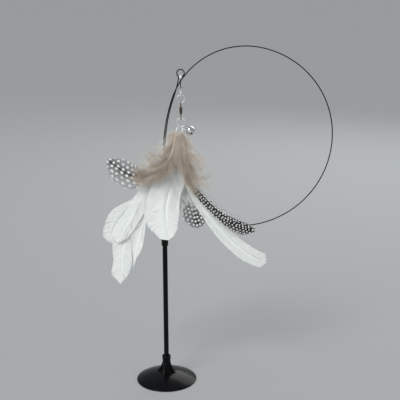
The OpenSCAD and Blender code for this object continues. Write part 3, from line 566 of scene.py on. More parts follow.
# A lever bar, bowed by half a sine wave, from its round boss on the pin up to the hook's tip.
def makeTrigger(c):
    heights = np.linspace(pinZ, hookTop - c["leverDrop"], 18)
    bow = -c["leverBow"] * np.sin(np.linspace(0, math.pi, 18))
    bar = sweptTube(sideways(pinDepth + bow, heights), c["leverRadius"], (1, 0, 0), 16, c["leverFlat"])
    line = onPin(-c["bossHalf"], c["bossHalf"], len(c["bossRadii"]))
    boss = sweptTube(line, c["bossRadii"], (0, 0, 1), 24, roundEnds=False)
    return makeObject("claspTrigger", *joined([bar, boss]), springSteel)


# A straight pin with a domed head on each side.
def makeClaspPin(c):
    pin = onPin(-c["pinHalf"], c["pinHalf"], 5)
    parts = [sweptTube(pin, c["pinRadius"], (0, 0, 1), 20, roundEnds=False)]
    for side in (-1, 1):
        head = onPin(side * c["headFrom"], side * c["headTo"], len(c["headRadii"]))
        parts.append(sweptTube(head, c["headRadii"], (0, 0, 1), 20, roundEnds=False))
    return makeObject("claspPin", *joined(parts), springSteel)


# A thin strip bent round the inside of the hook's foot, its free end curled against the lever.
def makeLeafSpring(c):
    strip = hookArc(c["leafRadius"], hookFoot, *c["leafEnds"], 28)
    points, faces = sweptTube(strip, c["leafThickness"] / 2, (1, 0, 0), 12, c["leafFlat"])
    return makeObject("claspSpring", points, faces, springSteel)


place(makeClaspBody(clasp), "clasp", "bright_plate", "clasp_body")
place(makeTrigger(clasp), "trigger", "steel_parts", "clasp_trigger")
place(makeClaspPin(clasp), "clasp", "steel_parts", "clasp_pin")
place(makeLeafSpring(clasp), "clasp", "steel_parts", "clasp_spring")

# The split ring's turns, its first end and the stretch in which it steps over are in degrees.
rings = {
    "jumpRadius": 3.6, "jumpWire": 0.5, "jumpGap": 3.0, "splitRadius": 4.2, "splitWire": 0.35,
    "splitSlim": 0.97, "splitTurns": 700, "splitStart": 60, "stepFrom": 330, "stepLength": 40,
    "stepShare": 0.92,
}


# One turn of round wire whose square cut ends meet at the right.
def makeJumpRing(c):
    path = circlePath(jumpCentre, c["jumpRadius"], (1, 0, 0), (0, 0, 1), c["jumpGap"] / 2,
                      360 - c["jumpGap"], 72)
    points, faces = sweptTube(path, c["jumpWire"], (0, 1, 0), 18, roundEnds=False)
    return makeObject("jumpRing", points, faces, platedBright)


# Nearly two turns of wire side by side. The depth is flat along each turn and steps over by 3 s^2 - 2 s^3
# where they cross, as the ends of a key ring do.
def makeSplitRing(c):
    a = np.linspace(0, c["splitTurns"], 150)
    s = np.clip((a - c["stepFrom"]) / c["stepLength"], 0, 1)
    depth = (s * s * (3 - 2 * s) * 2 - 1) * c["splitWire"] * c["stepShare"]
    a = np.radians(a + c["splitStart"])
    path = splitCentre + np.stack([c["splitRadius"] * np.cos(a), depth, c["splitRadius"] * np.sin(a)], -1)
    points, faces = sweptTube(path, c["splitWire"] * c["splitSlim"], (0, 1, 0), 14)
    return makeObject("splitRing", points, faces, platedBright)


place(makeJumpRing(rings), "jump_ring", "bright_plate", "jump_ring")
place(makeSplitRing(rings), "split_ring", "bright_plate", "split_ring")

swivel = {
    "eyeRadius": 1.5, "wire": 0.4, "shank": 0.45, "shankFlare": 0.16, "headRadius": 0.9, "headThickness": 0.8,
    "headShares": (0.72, 0.95, 1, 1, 0.95, 0.72), "barrelRadius": 1.4, "lip": 0.4, "lipStep": 0.1,
    "grooveHeight": 1.5, "grooveHalf": 0.4, "grooveDepth": 0.12, "holeRadius": 0.55, "wall": 0.35,
    "endThickness": 0.7,
}


# A wire eye: the shank rises from its head, flares and bends into a full loop that closes on itself.
def makeSwivelEye(name, c, node, way):
    ends = [corner[2] for corner in nodeBox(node)][::way]
    eyeZ = ends[1] - way * (c["eyeRadius"] + c["wire"])
    shank = onAxis(ends[0], eyeZ - way * c["eyeRadius"], 10)
    flare = c["shank"] + c["shankFlare"] * np.clip(np.linspace(-3, 1, 10), 0, 1)
    head = onAxis(ends[0], ends[0] + way * c["headThickness"], len(c["headShares"]))
    headRadius = c["headRadius"] * np.array(c["headShares"])
    parts = [hoop((axisX, axisY, eyeZ), c["eyeRadius"], (0, 1, 0), (0, 0, 1), c["wire"], 40),
             sweptTube(shank, flare, (0, 1, 0), 18, roundEnds=False),
             sweptTube(head, headRadius, (0, 1, 0), 24, roundEnds=False)]
    return makeObject(name, *joined(parts), darkPlate)


# The barrel: rolled lips and shallow grooves, mirrored from end to end, and a bore that holds the heads.
def makeBarrel(c):
    low, high = (corner[2] for corner in nodeBox("swivel_barrel"))
    r, hole, end = c["barrelRadius"], c["holeRadius"], c["endThickness"]
    side = np.array([[hole, 0], [r - c["lip"], 0], [r - c["lipStep"], c["lip"]],
                     *groove(r, c["grooveHeight"], c["grooveHalf"], c["grooveDepth"])])
    bore = [[hole, high - end], [r - c["wall"], high - end], [r - c["wall"], low + end], [hole, low + end]]
    corners = np.concatenate([side + [0, low], side[::-1] * [1, -1] + [0, high], bore])
    radii = [0.08, 0.15] + [0.1] * 8 + [0.15, 0.08] + [0.05] * 4
    points, faces = lathe(roundedProfile(corners, radii, 4), 48, closed=True)
    return makeObject("swivelBarrel", points + [axisX, axisY, 0], faces, darkPlate)


place(makeSwivelEye("swivelUpperEye", swivel, "swivel_upper_eye", 1), "swivel_top", "dark_brass",
      "swivel_upper_eye")
place(makeSwivelEye("swivelLowerEye", swivel, "swivel_lower_eye", -1), "swivel_bottom", "dark_brass",
      "swivel_lower_eye")
place(makeBarrel(swivel), "barrel", "dark_brass", "swivel_barrel")
print("clip, rings and swivel made")

bell = {"radius": 4.6, "linkRadius": 1.5, "loopRadius": 1.1, "wire": 0.32, "linkGap": 0.05, "lean": 33,
        "seamWidth": 0.42, "seamFlat": 1.3, "seamProud": 0.02, "solderLap": (0.05, 0.12),
        "solderRadii": (0.3, 0.36, 0.46, 0.62, 0.85)}


# Direction of something that hangs with a lean, and the direction to its right.
def hanging(degrees):
    a = math.radians(degrees)
    return np.array([math.sin(a), 0, -math.cos(a)]), np.array([math.cos(a), 0, math.sin(a)])


bellDown, bellRight = hanging(bell["lean"])
linkCentre = nodeCentre("bell_link")
loopDrop = bell["linkRadius"] - 2 * bell["wire"] - bell["linkGap"] + bell["loopRadius"]
loopCentre = linkCentre + loopDrop * bellDown
bellCentre = loopCentre + (bell["loopRadius"] + bell["wire"] + bell["radius"]) * bellDown


# The link is a ring that stands across the loop.
def makeBellLink(c):
    ring = hoop(linkCentre, c["linkRadius"], (0, 1, 0), -bellDown, c["wire"], 40, 14)
    return makeObject("bellLink", *ring, bellBright)


# The loop's foot widens as it goes down, and is soldered on the bell's crown.
def makeBellLoop(c):
    ring = hoop(loopCentre, c["loopRadius"], bellRight, -bellDown, c["wire"], 36, 14)
    start, end = c["loopRadius"] - c["solderLap"][0], c["loopRadius"] + c["wire"] + c["solderLap"][1]
    foot = np.linspace(loopCentre + start * bellDown, loopCentre + end * bellDown, len(c["solderRadii"]))
    solder = sweptTube(foot, c["solderRadii"], (0, 1, 0), 18, roundEnds=False)
    return makeObject("bellLoop", *joined([ring, solder]), bellBright)


# The rolled seam round the bell's waist.
def makeBellSeam(c):
    ring = hoop(bellCentre, c["radius"] + c["seamProud"], bellRight, (0, 1, 0), c["seamWidth"] / 2, 72, 12,
                c["seamFlat"])
    return makeObject("bellSeam", *ring, bellBright)


place(makeBellLink(bell), "bell", "bell_plate", "bell_link")
place(makeBellLoop(bell), "bell", "bell_plate", "bell_loop")
place(makeBellSeam(bell), "bell", "bell_plate")
ownShapes = {"bell_upper": bellBright, "bell_lower": bellBright, "bell_pellet": springSteel}
for nodeName, finish in ownShapes.items():
    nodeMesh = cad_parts[nodeName].data
    nodeMesh.materials.clear()
    nodeMesh.materials.append(finish)

# Each side's pair is its place round the split ring and its lean, in degrees.
crimp = {
    "radius": 1.35, "wall": 0.2, "length": 4.8, "eyeRadius": 1.2, "eyeWire": 0.3, "eyeDrop": 0.3589,
    "crown": 0.55, "crownWall": 0.6, "grooveHeight": 1.75, "grooveHalf": 0.25, "grooveDepth": 0.1,
    "mouthRoll": 0.02, "quillDepth": 3.0, "quillRadius": 0.32, "quills": 5, "quillClear": 0.1,
    "left": (-128, -18), "right": (-68, 2),
}


# A place on the split ring, by its angle up from the right.
def onSplit(degrees):
    a = math.radians(degrees)
    return splitCentre + rings["splitRadius"] * np.array([math.cos(a), 0, math.sin(a)])


# End cap: an eye of wire above a small cup with a rounded crown, two pressed grooves and a rolled mouth. Its
# profile is turned about Z and then laid along the lean.
def makeCrimp(name, c, placing):
    down, right = hanging(placing[1])
    hook = onSplit(placing[0])
    top, r, inner = c["eyeDrop"] + c["eyeRadius"], c["radius"], c["radius"] - c["wall"]
    foot = top + c["length"]
    corners = [
        [0, -top], [r * c["crown"], -top], [r, -top - c["crown"]],
        *groove(r, -top - c["grooveHeight"], -c["grooveHalf"], c["grooveDepth"]),
        *groove(r, -foot + c["grooveHeight"], -c["grooveHalf"], c["grooveDepth"]),
        [r + c["mouthRoll"], -foot], [inner, -foot], [inner, -top - c["crownWall"]],
        [0, -top - c["crownWall"]]]
    radii = [0, 0.25, 0.4, 0.1, 0.1, 0.1, 0.1, 0.1, 0.1, 0.1, 0.06, 0.2, 0]
    body, faces = lathe(roundedProfile(corners, radii), 48)
    body = hook + body[:, :1] * right + body[:, 1:2] * np.array([0, 1, 0]) - body[:, 2:] * down
    eye = hoop(hook + c["eyeDrop"] * down, c["eyeRadius"], (0, 1, 0), -down, c["eyeWire"], 36, 14)
    return makeObject(name, *joined([(body, faces), eye]), crimpBright)


place(makeCrimp("crimpLeft", crimp, crimp["left"]), "left_bundle", "crimp_plate", "crimp_left")
place(makeCrimp("crimpRight", crimp, crimp["right"]), "right_bundle", "crimp_plate", "crimp_right")
print("bell and crimps made")

fan = {"backLayer": -5.6, "step": 1.4, "downLayer": -19.6, "settle": 33,
       "sideBow": 10, "bowReach": 90, "frontBow": 3, "bowDrop": 170}
# What the white feathers share, unless one has its own value. The thickness is that of the fluff. Overs are
# shares of the length in which something sets in or ends, and scatters are spreads of chance.
vaneLook = {
    "barbs": 360, "points": 9, "start": 0.2, "startOver": 0.25, "reach": 0.24, "reachFade": 0.8, "bend": 1.7,
    "barbThickness": 0.055, "widest": 0.5, "tilt": 4, "camber": 0.9, "clumps": 22, "clumpPull": 0.3,
    "pullLeast": 0.3, "wisps": 0.25, "looseOver": 0.3, "looseLeast": 0.12, "looseSlim": 0.55,
    "scatter": 0.02, "looseScatter": 0.25, "waves": (3, 8), "waveDepth": 1.1, "waveSway": 0.8,
    "tipRound": 0.9, "end": 1.0, "overrun": 0, "ragged": 0.0, "fanIn": 0.05, "tones": (0.35, 0.8),
    "toneScatter": 0.12, "shaft": (0.34, 0.04), "thickness": 3.0, "thicks": [(0, 0.6), (1, 1)], "fluff": {},
}
anyPhase = 6.3  # a full turn in radians, for waves that start anywhere
# Tables run by the share of the length: headings in degrees from straight down, and widths as shares of the
# widest. Each edge has its own widths where the two differ, and the fluff takes the common ones.
feathers = {
    "curled": {
        "bundle": "left", "quill": 0, "length": 126, "width": 19, "layer": 0,
        "headings": [(0, -18), (0.08, -23), (0.3, -32), (0.52, -36), (0.66, -46), (0.77, -42), (0.88, -29),
                     (1, -8)],
        "widths": [(0, 0), (0.28, 0.05), (0.45, 0.42), (0.6, 0.74)],
        "leftVane": [(0, 0), (0.3, 0.05), (0.45, 0.25), (0.6, 0.44), (0.65, 0.47), (0.7, 0.66), (0.75, 0.91),
                     (0.8, 1.12), (0.85, 1.14), (0.9, 1.06), (0.95, 0.97), (1.02, 0.85)],
        "rightVane": [(0, 0), (0.3, 0.05), (0.45, 0.28), (0.55, 0.6), (0.65, 1), (0.75, 1.3), (0.86, 1.4),
                      (0.94, 1.2), (1, 0.7)],
        "cover": 0.95, "overrun": 0.09, "end": 1.04, "tipRound": 0.965, "seed": 11,
    },
    "front": {
        "bundle": "left", "quill": 2, "length": 119, "width": 18, "layer": 4,
        "headings": [(0, -18), (0.08, -27), (0.25, -30), (0.53, -28), (0.7, -33), (0.86, -31), (1, -15)],
        "widths": [(0, 0), (0.25, 0.05), (0.36, 0.36), (0.5, 0.68), (0.66, 0.92)],
        "leftVane": [(0, 0), (0.25, 0.05), (0.36, 0.36), (0.5, 0.68), (0.66, 0.88), (0.75, 0.8), (0.82, 0.74),
                     (0.9, 0.74), (0.96, 0.8), (1.02, 0.88)],
        "rightVane": [(0, 0), (0.25, 0.05), (0.36, 0.36), (0.5, 0.68), (0.66, 0.92), (0.84, 0.96),
                      (0.92, 0.92), (0.96, 0.8), (1, 0.46)],
        "cover": 1.2, "overrun": 0.1, "end": 1.045, "tipRound": 0.96, "seed": 12,
        "fluff": {"least": 8, "barbs": 150, "to": 0.44, "deep": 3.4, "front": (1, 1), "rise": 15,
                  "tone": 0.85},
    },
    "long": {
        "bundle": "left", "quill": 1, "length": 161, "width": 20, "layer": 2,
        "headings": [(0, -18), (0.07, -26), (0.3, -29), (0.47, -27), (0.66, -23), (0.76, -14), (0.84, -4),
                     (1, -4)],
        "widths": [(0, 0), (0.24, 0.04), (0.4, 0.38), (0.54, 0.6)],
        "leftVane": [(0, 0), (0.24, 0.04), (0.4, 0.38), (0.54, 0.6), (0.68, 0.9), (0.74, 1.12), (0.8, 1),
                     (0.86, 0.8), (0.9, 0.83), (0.94, 0.98), (0.97, 0.86), (1, 0.5)],
        "rightVane": [(0, 0), (0.24, 0.04), (0.4, 0.38), (0.54, 0.6), (0.68, 0.68), (0.75, 0.7), (0.8, 0.9),
                      (0.86, 1.03), (0.9, 0.97), (0.94, 0.8), (0.97, 0.58), (1, 0.3)],
        "cover": 1.1, "overrun": 0.05, "end": 1.025, "tipRound": 0.96, "seed": 13,
    },
    "split": {
        "bundle": "left", "quill": 4, "length": 133, "width": 13, "layer": 3,
        "headings": [(0, -18), (0.08, -22), (0.5, -23), (0.68, -18), (0.8, -12), (1, -11)],
        "widths": [(0, 0), (0.26, 0.05), (0.4, 0.45), (0.6, 0.9)],
        "leftVane": [(0, 0), (0.26, 0.05), (0.4, 0.5), (0.55, 1.1), (0.68, 1.42), (0.76, 1.38), (0.85, 1.1),
                     (0.9, 0.82), (0.95, 0.5), (1, 0.2), (1.08, 0.1)],
        "rightVane": [(0, 0), (0.26, 0.05), (0.4, 0.3), (0.6, 0.36), (0.75, 0.34), (0.8, 0.42), (0.85, 0.6),
                      (0.9, 0.74), (0.95, 0.5), (1, 0.15), (1.08, 0.1)],
        "cover": 0.95, "reach": 0.5, "bend": 2.2, "clumpPull": 0.85, "pullLeast": 0.6, "clumps": 12,
        "wisps": 0.5, "overrun": 0.02, "end": 1.1, "tipRound": 1.05, "ragged": 0.03, "fanIn": 0.12,
        "seed": 14,
    },
    "middle": {
        "bundle": "right", "quill": 2, "length": 105, "width": 31, "layer": 5,
        "headings": [(0, 2), (0.06, -6), (0.2, -16), (0.5, -18), (0.62, -12), (0.78, 2), (0.9, 8), (1, 12)],
        "widths": [(0, 0), (0.2, 0.05), (0.33, 0.32), (0.48, 0.64), (0.62, 0.9), (0.76, 1)],
        "leftVane": [(0, 0), (0.18, 0.12), (0.28, 0.5), (0.42, 0.93), (0.58, 1.16), (0.7, 1.25), (0.8, 1.3),
                     (0.86, 1.1), (0.9, 0.88), (0.95, 0.62), (1, 0.48)],
        "rightVane": [(0, 0), (0.18, 0.1), (0.28, 0.42), (0.42, 0.68), (0.58, 0.76), (0.72, 0.84),
                      (0.8, 0.81), (0.86, 0.72), (0.9, 0.68), (0.95, 0.46), (1, 0.2)],
        "cover": 1.25, "barbs": 420, "tipRound": 0.965, "end": 1.005, "seed": 15,
        "fluff": {"least": 11.5, "barbs": 250, "to": 0.44, "barbule": 3.4, "deep": 4.6, "front": (1, 1),
                  "rise": 16, "tone": 0.85},
    },
    "veil": {
        "bundle": "right", "quill": 1, "length": 103, "width": 16, "layer": 1,
        "headings": [(0, 2), (0.06, -5), (0.4, -9), (0.6, -7), (0.8, -2), (1, -5)],
        "widths": [(0, 0), (0.22, 0.06), (0.35, 0.4), (0.5, 0.76), (0.66, 0.96), (0.78, 1), (0.9, 0.74),
                   (1, 0.16)],
        "rightVane": [(0, 0), (0.22, 0.06), (0.35, 0.4), (0.5, 0.66), (0.66, 0.78), (0.78, 0.76), (0.9, 0.55),
                      (1, 0.1)],
        "cover": 0.8, "wisps": 0.7, "clumpPull": 0.6, "seed": 16,
        "fluff": {"least": 10, "barbs": 200, "to": 0.64},
    },
    "sweep": {
        "bundle": "right", "quill": 4, "length": 158, "width": 16, "layer": 4,
        "headings": [(0, 2), (0.16, 3), (0.26, 16), (0.37, 28), (0.48, 35), (0.6, 39), (0.83, 49), (0.93, 60),
                     (1, 72)],
        "widths": [(0, 0), (0.16, 0.04), (0.3, 0.34), (0.42, 0.5), (0.54, 0.62), (0.68, 0.84), (0.85, 1),
                   (1, 0.95)],
        "cover": 1.15, "tipRound": 0.985, "end": 1.03, "overrun": 0.09, "reach": 0.18, "seed": 17,
        "fluff": {"least": 6, "barbs": 150, "to": 0.3},
    },
}
edgeNames = {-1: "leftVane", 1: "rightVane"}


# The five quills of a bunch stand round the crimp's axis, inside its wall.
def quillStart(c, placing, k):
    down, right = hanging(placing[1])
    a = math.radians(90 + 360 * k / c["quills"])
    drop = c["eyeDrop"] + c["eyeRadius"] + c["length"] - c["quillDepth"]
    circle = c["radius"] - c["wall"] - c["quillRadius"] - c["quillClear"]
    return onSplit(placing[0]) + drop * down + circle * (math.cos(a) * right + np.array([0, math.sin(a), 0]))


# Share of the way forward at a distance below the mouth, 1 - u^3 (4 - 3 u) where u is the share of the
# stretch that is left. It starts and ends level.
def settled(distance):
    left = 1 - np.clip(distance / fan["settle"], 0, 1)
    return 1 - left ** 3 * (4 - 3 * left)


# The spine below the crimp's mouth: each step moves along its heading, and the depth comes forward to the
# feather's layer.
def spineOf(f, layerY, steps=400):
    share = np.linspace(0, 1, steps + 1)
    heading = np.radians(np.interp(share, *zip(*f["headings"])))
    placing = crimp[f["bundle"]]
    length = f["length"] - crimp["quillDepth"]
    start = quillStart(crimp, placing, f["quill"]) + crimp["quillDepth"] * hanging(placing[1])[0]
    between = (heading[1:] + heading[:-1]) / 2
    x = start[0] + np.concatenate([[0], np.cumsum(np.sin(between) * length / steps)])
    z = start[2] - np.concatenate([[0], np.cumsum(np.cos(between) * length / steps)])
    y = start[1] + settled(share * length) * (layerY - start[1])
    side = np.stack([np.cos(heading), np.zeros_like(heading), np.sin(heading)], -1)
    points = np.stack([x, y, z], -1)
    return {"share": share, "points": points, "side": side, "length": length,
            "tangent": unit(np.gradient(points, axis=0)), "quill": crimp["quillDepth"] / length}


# The whole fan bows back to the sides as the square of the distance from its axis, and bulges forward halfway
# down, so that its layers bow together and never cross.
def bowed(points, share, spine):
    down = np.clip((splitCentre[2] - points[..., 2]) / fan["bowDrop"], 0, 1)
    sideBow = fan["sideBow"] * ((points[..., 0] - axisX) / fan["bowReach"]) ** 2
    points = points.copy()
    points[..., 1] += settled(share * spine["length"]) * (sideBow - fan["frontBow"] * np.sin(np.pi * down))
    return points


# Point, sideways direction, outward normal and tangent at any array of shares. Past its ends the spine runs
# straight.
def alongSpine(spine, share):
    inside = np.clip(share, 0, 1)
    at, side, tangent = [
        np.stack([np.interp(inside, spine["share"], spine[key][:, k]) for k in range(3)], -1)
        for key in ("points", "side", "tangent")]
    side, tangent = unit(side), unit(tangent)
    at = at + tangent * ((share - inside) * spine["length"])[..., None]
    return at, side, np.cross(side, tangent), tangent


# Many thin bars at once. Each section has its corners on a flat oval, tilted so that neighbours overlap like
# slates, and each bar is closed at both ends.
def ribbons(paths, halfWidth, halfThick, normals, tilt=0.0, sides=4):
    count, rows = paths.shape[:2]
    tangent = unit(np.gradient(paths, axis=1))
    across = unit(np.cross(tangent, normals))
    normals = np.cross(across, tangent)
    across, normals = (math.cos(tilt) * across + math.sin(tilt) * normals,
                       math.cos(tilt) * normals - math.sin(tilt) * across)
    t = np.linspace(0, 2 * np.pi, sides, endpoint=False)[:, None]
    rings = (paths[:, :, None] + (halfWidth[..., None] * across)[:, :, None] * np.cos(t)
             + (halfThick[..., None] * normals)[:, :, None] * np.sin(t))
    base = (np.arange(count) * rows * sides)[:, None, None]
    wall, first, last = (base + part[None] for part in tubeFaces(rows, sides))
    return rings.reshape(-1, 3), [part.reshape(-1, part.shape[-1])[:, ::-1] for part in (wall, first, last)]


# Half the vane's width: the edge's own table, or else the common one, closed to a round tip.
def halfWidthAt(f, share, tipRound, edge="widths"):
    table = np.interp(share, *zip(*f.get(edge, f["widths"]))) * f["width"] / 2
    past = np.clip((share - tipRound) / (f["end"] - tipRound), 0, 1)
    return table * np.sqrt(np.maximum(1 - past ** 2, 0.0))


# Barbs of one side. Each leaves the shaft at its root share and bends towards the tip: its share grows evenly
# while its distance out grows as 1 - (1 - v)^bend. Barbs gather in clumps towards their ends, which opens the
# small splits of a used feather. The lowest ones are loose and wavy, and the last ones fan in to close the
# tip.
def barbPaths(f, spine, way, rng):
    count, start = f["barbs"], f["start"]
    root = start + (1 - start) * (np.arange(count) + 0.5) / count
    v = np.linspace(0, 1, f["points"])[None, :]
    grown = (1 + np.clip((root - start) / f["startOver"], 0, 1)) / 2
    tip = root + f["reach"] * (1 - root + f["overrun"]) ** f["reachFade"] * grown
    which = np.searchsorted(np.sort(rng.uniform(start, 1, f["clumps"])), root)
    clumps = range(f["clumps"] + 1)
    centres = np.array([tip[which == k].mean() if (which == k).any() else 0 for k in clumps])
    pull = f["clumpPull"] * rng.uniform(f["pullLeast"], 1, len(clumps))
    tip = tip + (centres[which] - tip) * pull[which] + f["ragged"] * rng.normal(0, 1, count)
    loose = (np.clip(1 - (root - start) / f["looseOver"], 0, 1) + f["looseLeast"]) * f["wisps"]
    outline = halfWidthAt(f, tip, f["tipRound"], edgeNames[way])
    uneven = 1 + rng.normal(0, f["scatter"], count) + loose * rng.normal(0, f["looseScatter"], count)
    reachOut = outline * uneven * np.sqrt(np.clip((1 - root) / f["fanIn"], 0, 1))
    share = root[:, None] + (tip - root)[:, None] * v
    out = reachOut[:, None] * (1 - (1 - v) ** f["bend"])
    at, side, normal, tangent = alongSpine(spine, share)
    camber = f["camber"] * (out / (f["width"] / 2)) ** 2
    phase = v * rng.uniform(*f["waves"], (count, 1)) + rng.uniform(0, anyPhase, (count, 1))
    wave = loose[:, None] * v ** 1.5 * np.sin(phase)
    sway = f["waveSway"] * wave * rng.choice([-1, 1], (count, 1))
    paths = at + (way * out)[..., None] * side + (f["waveDepth"] * wave - camber)[..., None] * normal
    return bowed(paths + sway[..., None] * tangent, share, spine), normal, v, loose


# Half the width of each barb, from its distance to its neighbours, so that the vane closes where they run
# together and opens where they part. The last tenth narrows to a quarter.
def barbWidths(paths, cover, widest, v, least=0.1):
    step = (np.roll(paths, -1, 0) - np.roll(paths, 1, 0)) / 2
    step[0], step[-1] = paths[1] - paths[0], paths[-1] - paths[-2]
    gap = np.linalg.norm(np.cross(step, unit(np.gradient(paths, axis=1))), axis=-1)
    ends = 1 - 0.75 * np.clip((v - 0.9) / 0.1, 0, 1)
    return np.clip(cover * gap, least, widest) / 2 * ends


# Both sides' barbs as thin ribbons, slimmer where they are loose and paler towards their ends.
def makeWhiteVane(name, f, spine, rng):
    parts, tones = [], []
    for way in edgeNames:
        paths, normal, v, loose = barbPaths(f, spine, way, rng)
        slim = 1 - f["looseSlim"] * np.clip(loose, 0, 1)
        half = barbWidths(paths, f["cover"], f["widest"], v) * slim[:, None]
        thick = np.full(half.shape, f["barbThickness"])
        parts.append(ribbons(paths, half, thick, normal, math.radians(f["tilt"]) * way))
        tone = np.interp(v, [0, 1], f["tones"]) + rng.normal(0, f["toneScatter"], (len(paths), 1))
        tones.append(np.repeat(tone.reshape(-1), 4))
    return makeObject(name, *joined(parts), whiteVane, np.concatenate(tones))


# The quill: round in the crimp, tapering by share^0.75 to a hair at the tip, a little deeper than wide.
def makeShaft(name, spine, thick, thin, material, end=0.985, deep=1.15):
    rows, sides = 90, 10
    share = np.linspace(-spine["quill"], end, rows)
    at, side, normal = alongSpine(spine, share)[:3]
    at = bowed(at, share, spine)
    radius = (thick + (thin - thick) * np.maximum(share, 0) ** 0.75)[:, None, None]
    t = np.linspace(0, 2 * np.pi, sides, endpoint=False)[None, :, None]
    rings = at[:, None] + radius * (np.cos(t) * side[:, None] + deep * np.sin(t) * normal[:, None])
    tones = np.repeat(np.maximum(share, 0), sides)
    return makeObject(name, rings.reshape(-1, 3), tubeFaces(rows, sides), material, tones)


# Fluff: barbs that leave the shaft all round it, each with fine barbules on both sides. Sides and stray are
# for left and right. Front is the share of the depth that is left in front, by the shares in frontOver.
# Ranges and scatters are for the draws of chance.
whiteFluff = {
    "barbs": 130, "points": 8, "from": 0.03, "to": 0.4, "crowd": 1.0, "tufts": 40, "rootScatter": 0.01,
    "turnScatter": 0.3, "tuftRange": (0.72, 1.12), "rise": 11, "riseRange": (0.4, 1.5), "wide": 1.15,
    "wideRange": (0.65, 1.1), "least": 6.0, "deep": 1.0, "deepRange": (0.6, 1.1), "thickLeast": 0.7,
    "bend": 1.7, "front": (0.7, 0.7), "frontOver": (0.24, 0.36), "sides": (1, 1), "sidesOver": 0.2,
    "stray": (1, 1), "strayEvery": 5, "sag": 1.0, "sagRange": (0.2, 1.3), "wave": 0.5, "waves": (2, 9),
    "barbRadius": 0.06, "barbTaper": 0.6, "tone": 0.6, "toneSpread": 0.22, "tipLight": 0.18, "tipPale": 0,
    "palePart": 0, "paleOver": 0.14, "strayPale": 0.25, "barbules": 13, "barbule": 2.6,
    "barbuleRange": (0.6, 1.3), "barbuleSpan": (0.06, 0.97), "barbuleShift": 0.02, "barbuleShrink": 0.55,
    "barbuleTurn": 0.75, "barbuleRadius": 0.042, "barbuleTaper": (1.0, 0.8, 0.35),
    "barbuleTone": (0.08, 0.1),
}
# Down: a dark dense coat close to the shaft, and a pale haze of longer barbs round it
downLook = {
    **whiteFluff, "barbs": 470, "barbules": 12, "from": -0.01, "to": 0.62, "crowd": 0.9, "rise": 9,
    "wide": 0.8, "deep": 1.3, "front": (0.35, 0.8), "tufts": 80, "sag": 1.4, "wave": 0.6, "barbule": 2.4,
    "barbRadius": 0.075, "barbuleRadius": 0.045, "tone": 0.42, "toneSpread": 0.36, "least": 3.2,
    "palePart": 0.4,
}
hazeLook = {
    **whiteFluff, "barbs": 490, "barbules": 12, "from": -0.012, "to": 0.62, "crowd": 1.15, "rise": 10,
    "wide": 1.2, "deep": 1.5, "front": (0.4, 0.8), "tufts": 90, "sag": 1.0, "wave": 0.9, "barbule": 3.8,
    "barbRadius": 0.05, "barbuleRadius": 0.036, "tone": 0.64, "toneSpread": 0.3, "least": 6.5,
    "palePart": 0.3,
}


# A barb's share grows evenly by the rise while it swings out, by 1 - (1 - v)^bend, to the vane's outline,
# wider than deep. Barbs stand in tufts, and one in a few may stray further out. The result is the barbs'
# paths, normals and tones.
def fluffBarbs(f, look, spine, rng):
    n, tufts, first, last = look["barbs"], look["tufts"], look["from"], look["to"]
    tuft = rng.integers(0, tufts, n)
    tuftRoot = first + (last - first) * rng.uniform(0, 1, tufts) ** look["crowd"]
    root = np.clip(tuftRoot[tuft] + rng.normal(0, look["rootScatter"], n), first, last)
    turn = rng.uniform(0, 2 * np.pi, tufts)[tuft] + rng.normal(0, look["turnScatter"], n)
    tuftTone = rng.normal(0, look["toneSpread"], tufts)[tuft]
    tuftSize = rng.uniform(*look["tuftRange"], tufts)[tuft]
    v = np.linspace(0, 1, look["points"])[None, :]
    rise = look["rise"] / spine["length"] * rng.uniform(*look["riseRange"], n)
    share = root[:, None] + rise[:, None] * v
    outline = np.maximum(halfWidthAt(f, root + rise, 0.98), look["least"])
    wide = outline * look["wide"] * tuftSize * rng.uniform(*look["wideRange"], n)
    thick = np.interp(root + rise, *zip(*f["thicks"])) * f["thickness"] / 2
    deep = np.maximum(thick, look["thickLeast"]) * look["deep"] * rng.uniform(*look["deepRange"], n)
    cosine, sine = np.cos(turn), np.sin(turn)
    lopsided = np.where(cosine < 0, *look["sides"]) - 1
    strays = np.arange(n) % look["strayEvery"] == look["strayEvery"] // 2
    stray = np.where(strays, np.where(cosine < 0, *look["stray"]), 1)
    cosine = cosine * (1 + lopsided * np.clip(root / look["sidesOver"], 0, 1)) * stray
    sine = np.where(sine < 0, sine * np.interp(root, look["frontOver"], look["front"]), sine)
    out = 1 - (1 - v[..., None]) ** look["bend"]
    at, side, normal = alongSpine(spine, share)[:3]
    paths = at + (cosine * wide)[:, None, None] * out * side + (sine * deep)[:, None, None] * out * normal
    paths[..., 2] -= look["sag"] * v ** 2 * rng.uniform(*look["sagRange"], (n, 1))
    for axis in range(3):
        phase = v * rng.uniform(*look["waves"], (n, 1)) + rng.uniform(0, anyPhase, (n, 1))
        paths[..., axis] += look["wave"] / 2 * v * np.sin(phase)
    tone = look["tone"] + tuftTone[:, None] + look["toneSpread"] * rng.normal(0, 0.4, (n, 1))
    tone = tone + (look["tipLight"] + look["tipPale"] * np.clip(cosine, 0, 1))[:, None] * v
    pale = look["palePart"] * np.clip(1 - root / look["paleOver"], 0, 1) + look["strayPale"] * (stray > 1)
    return bowed(paths, share, spine), normal, tone + pale[:, None]


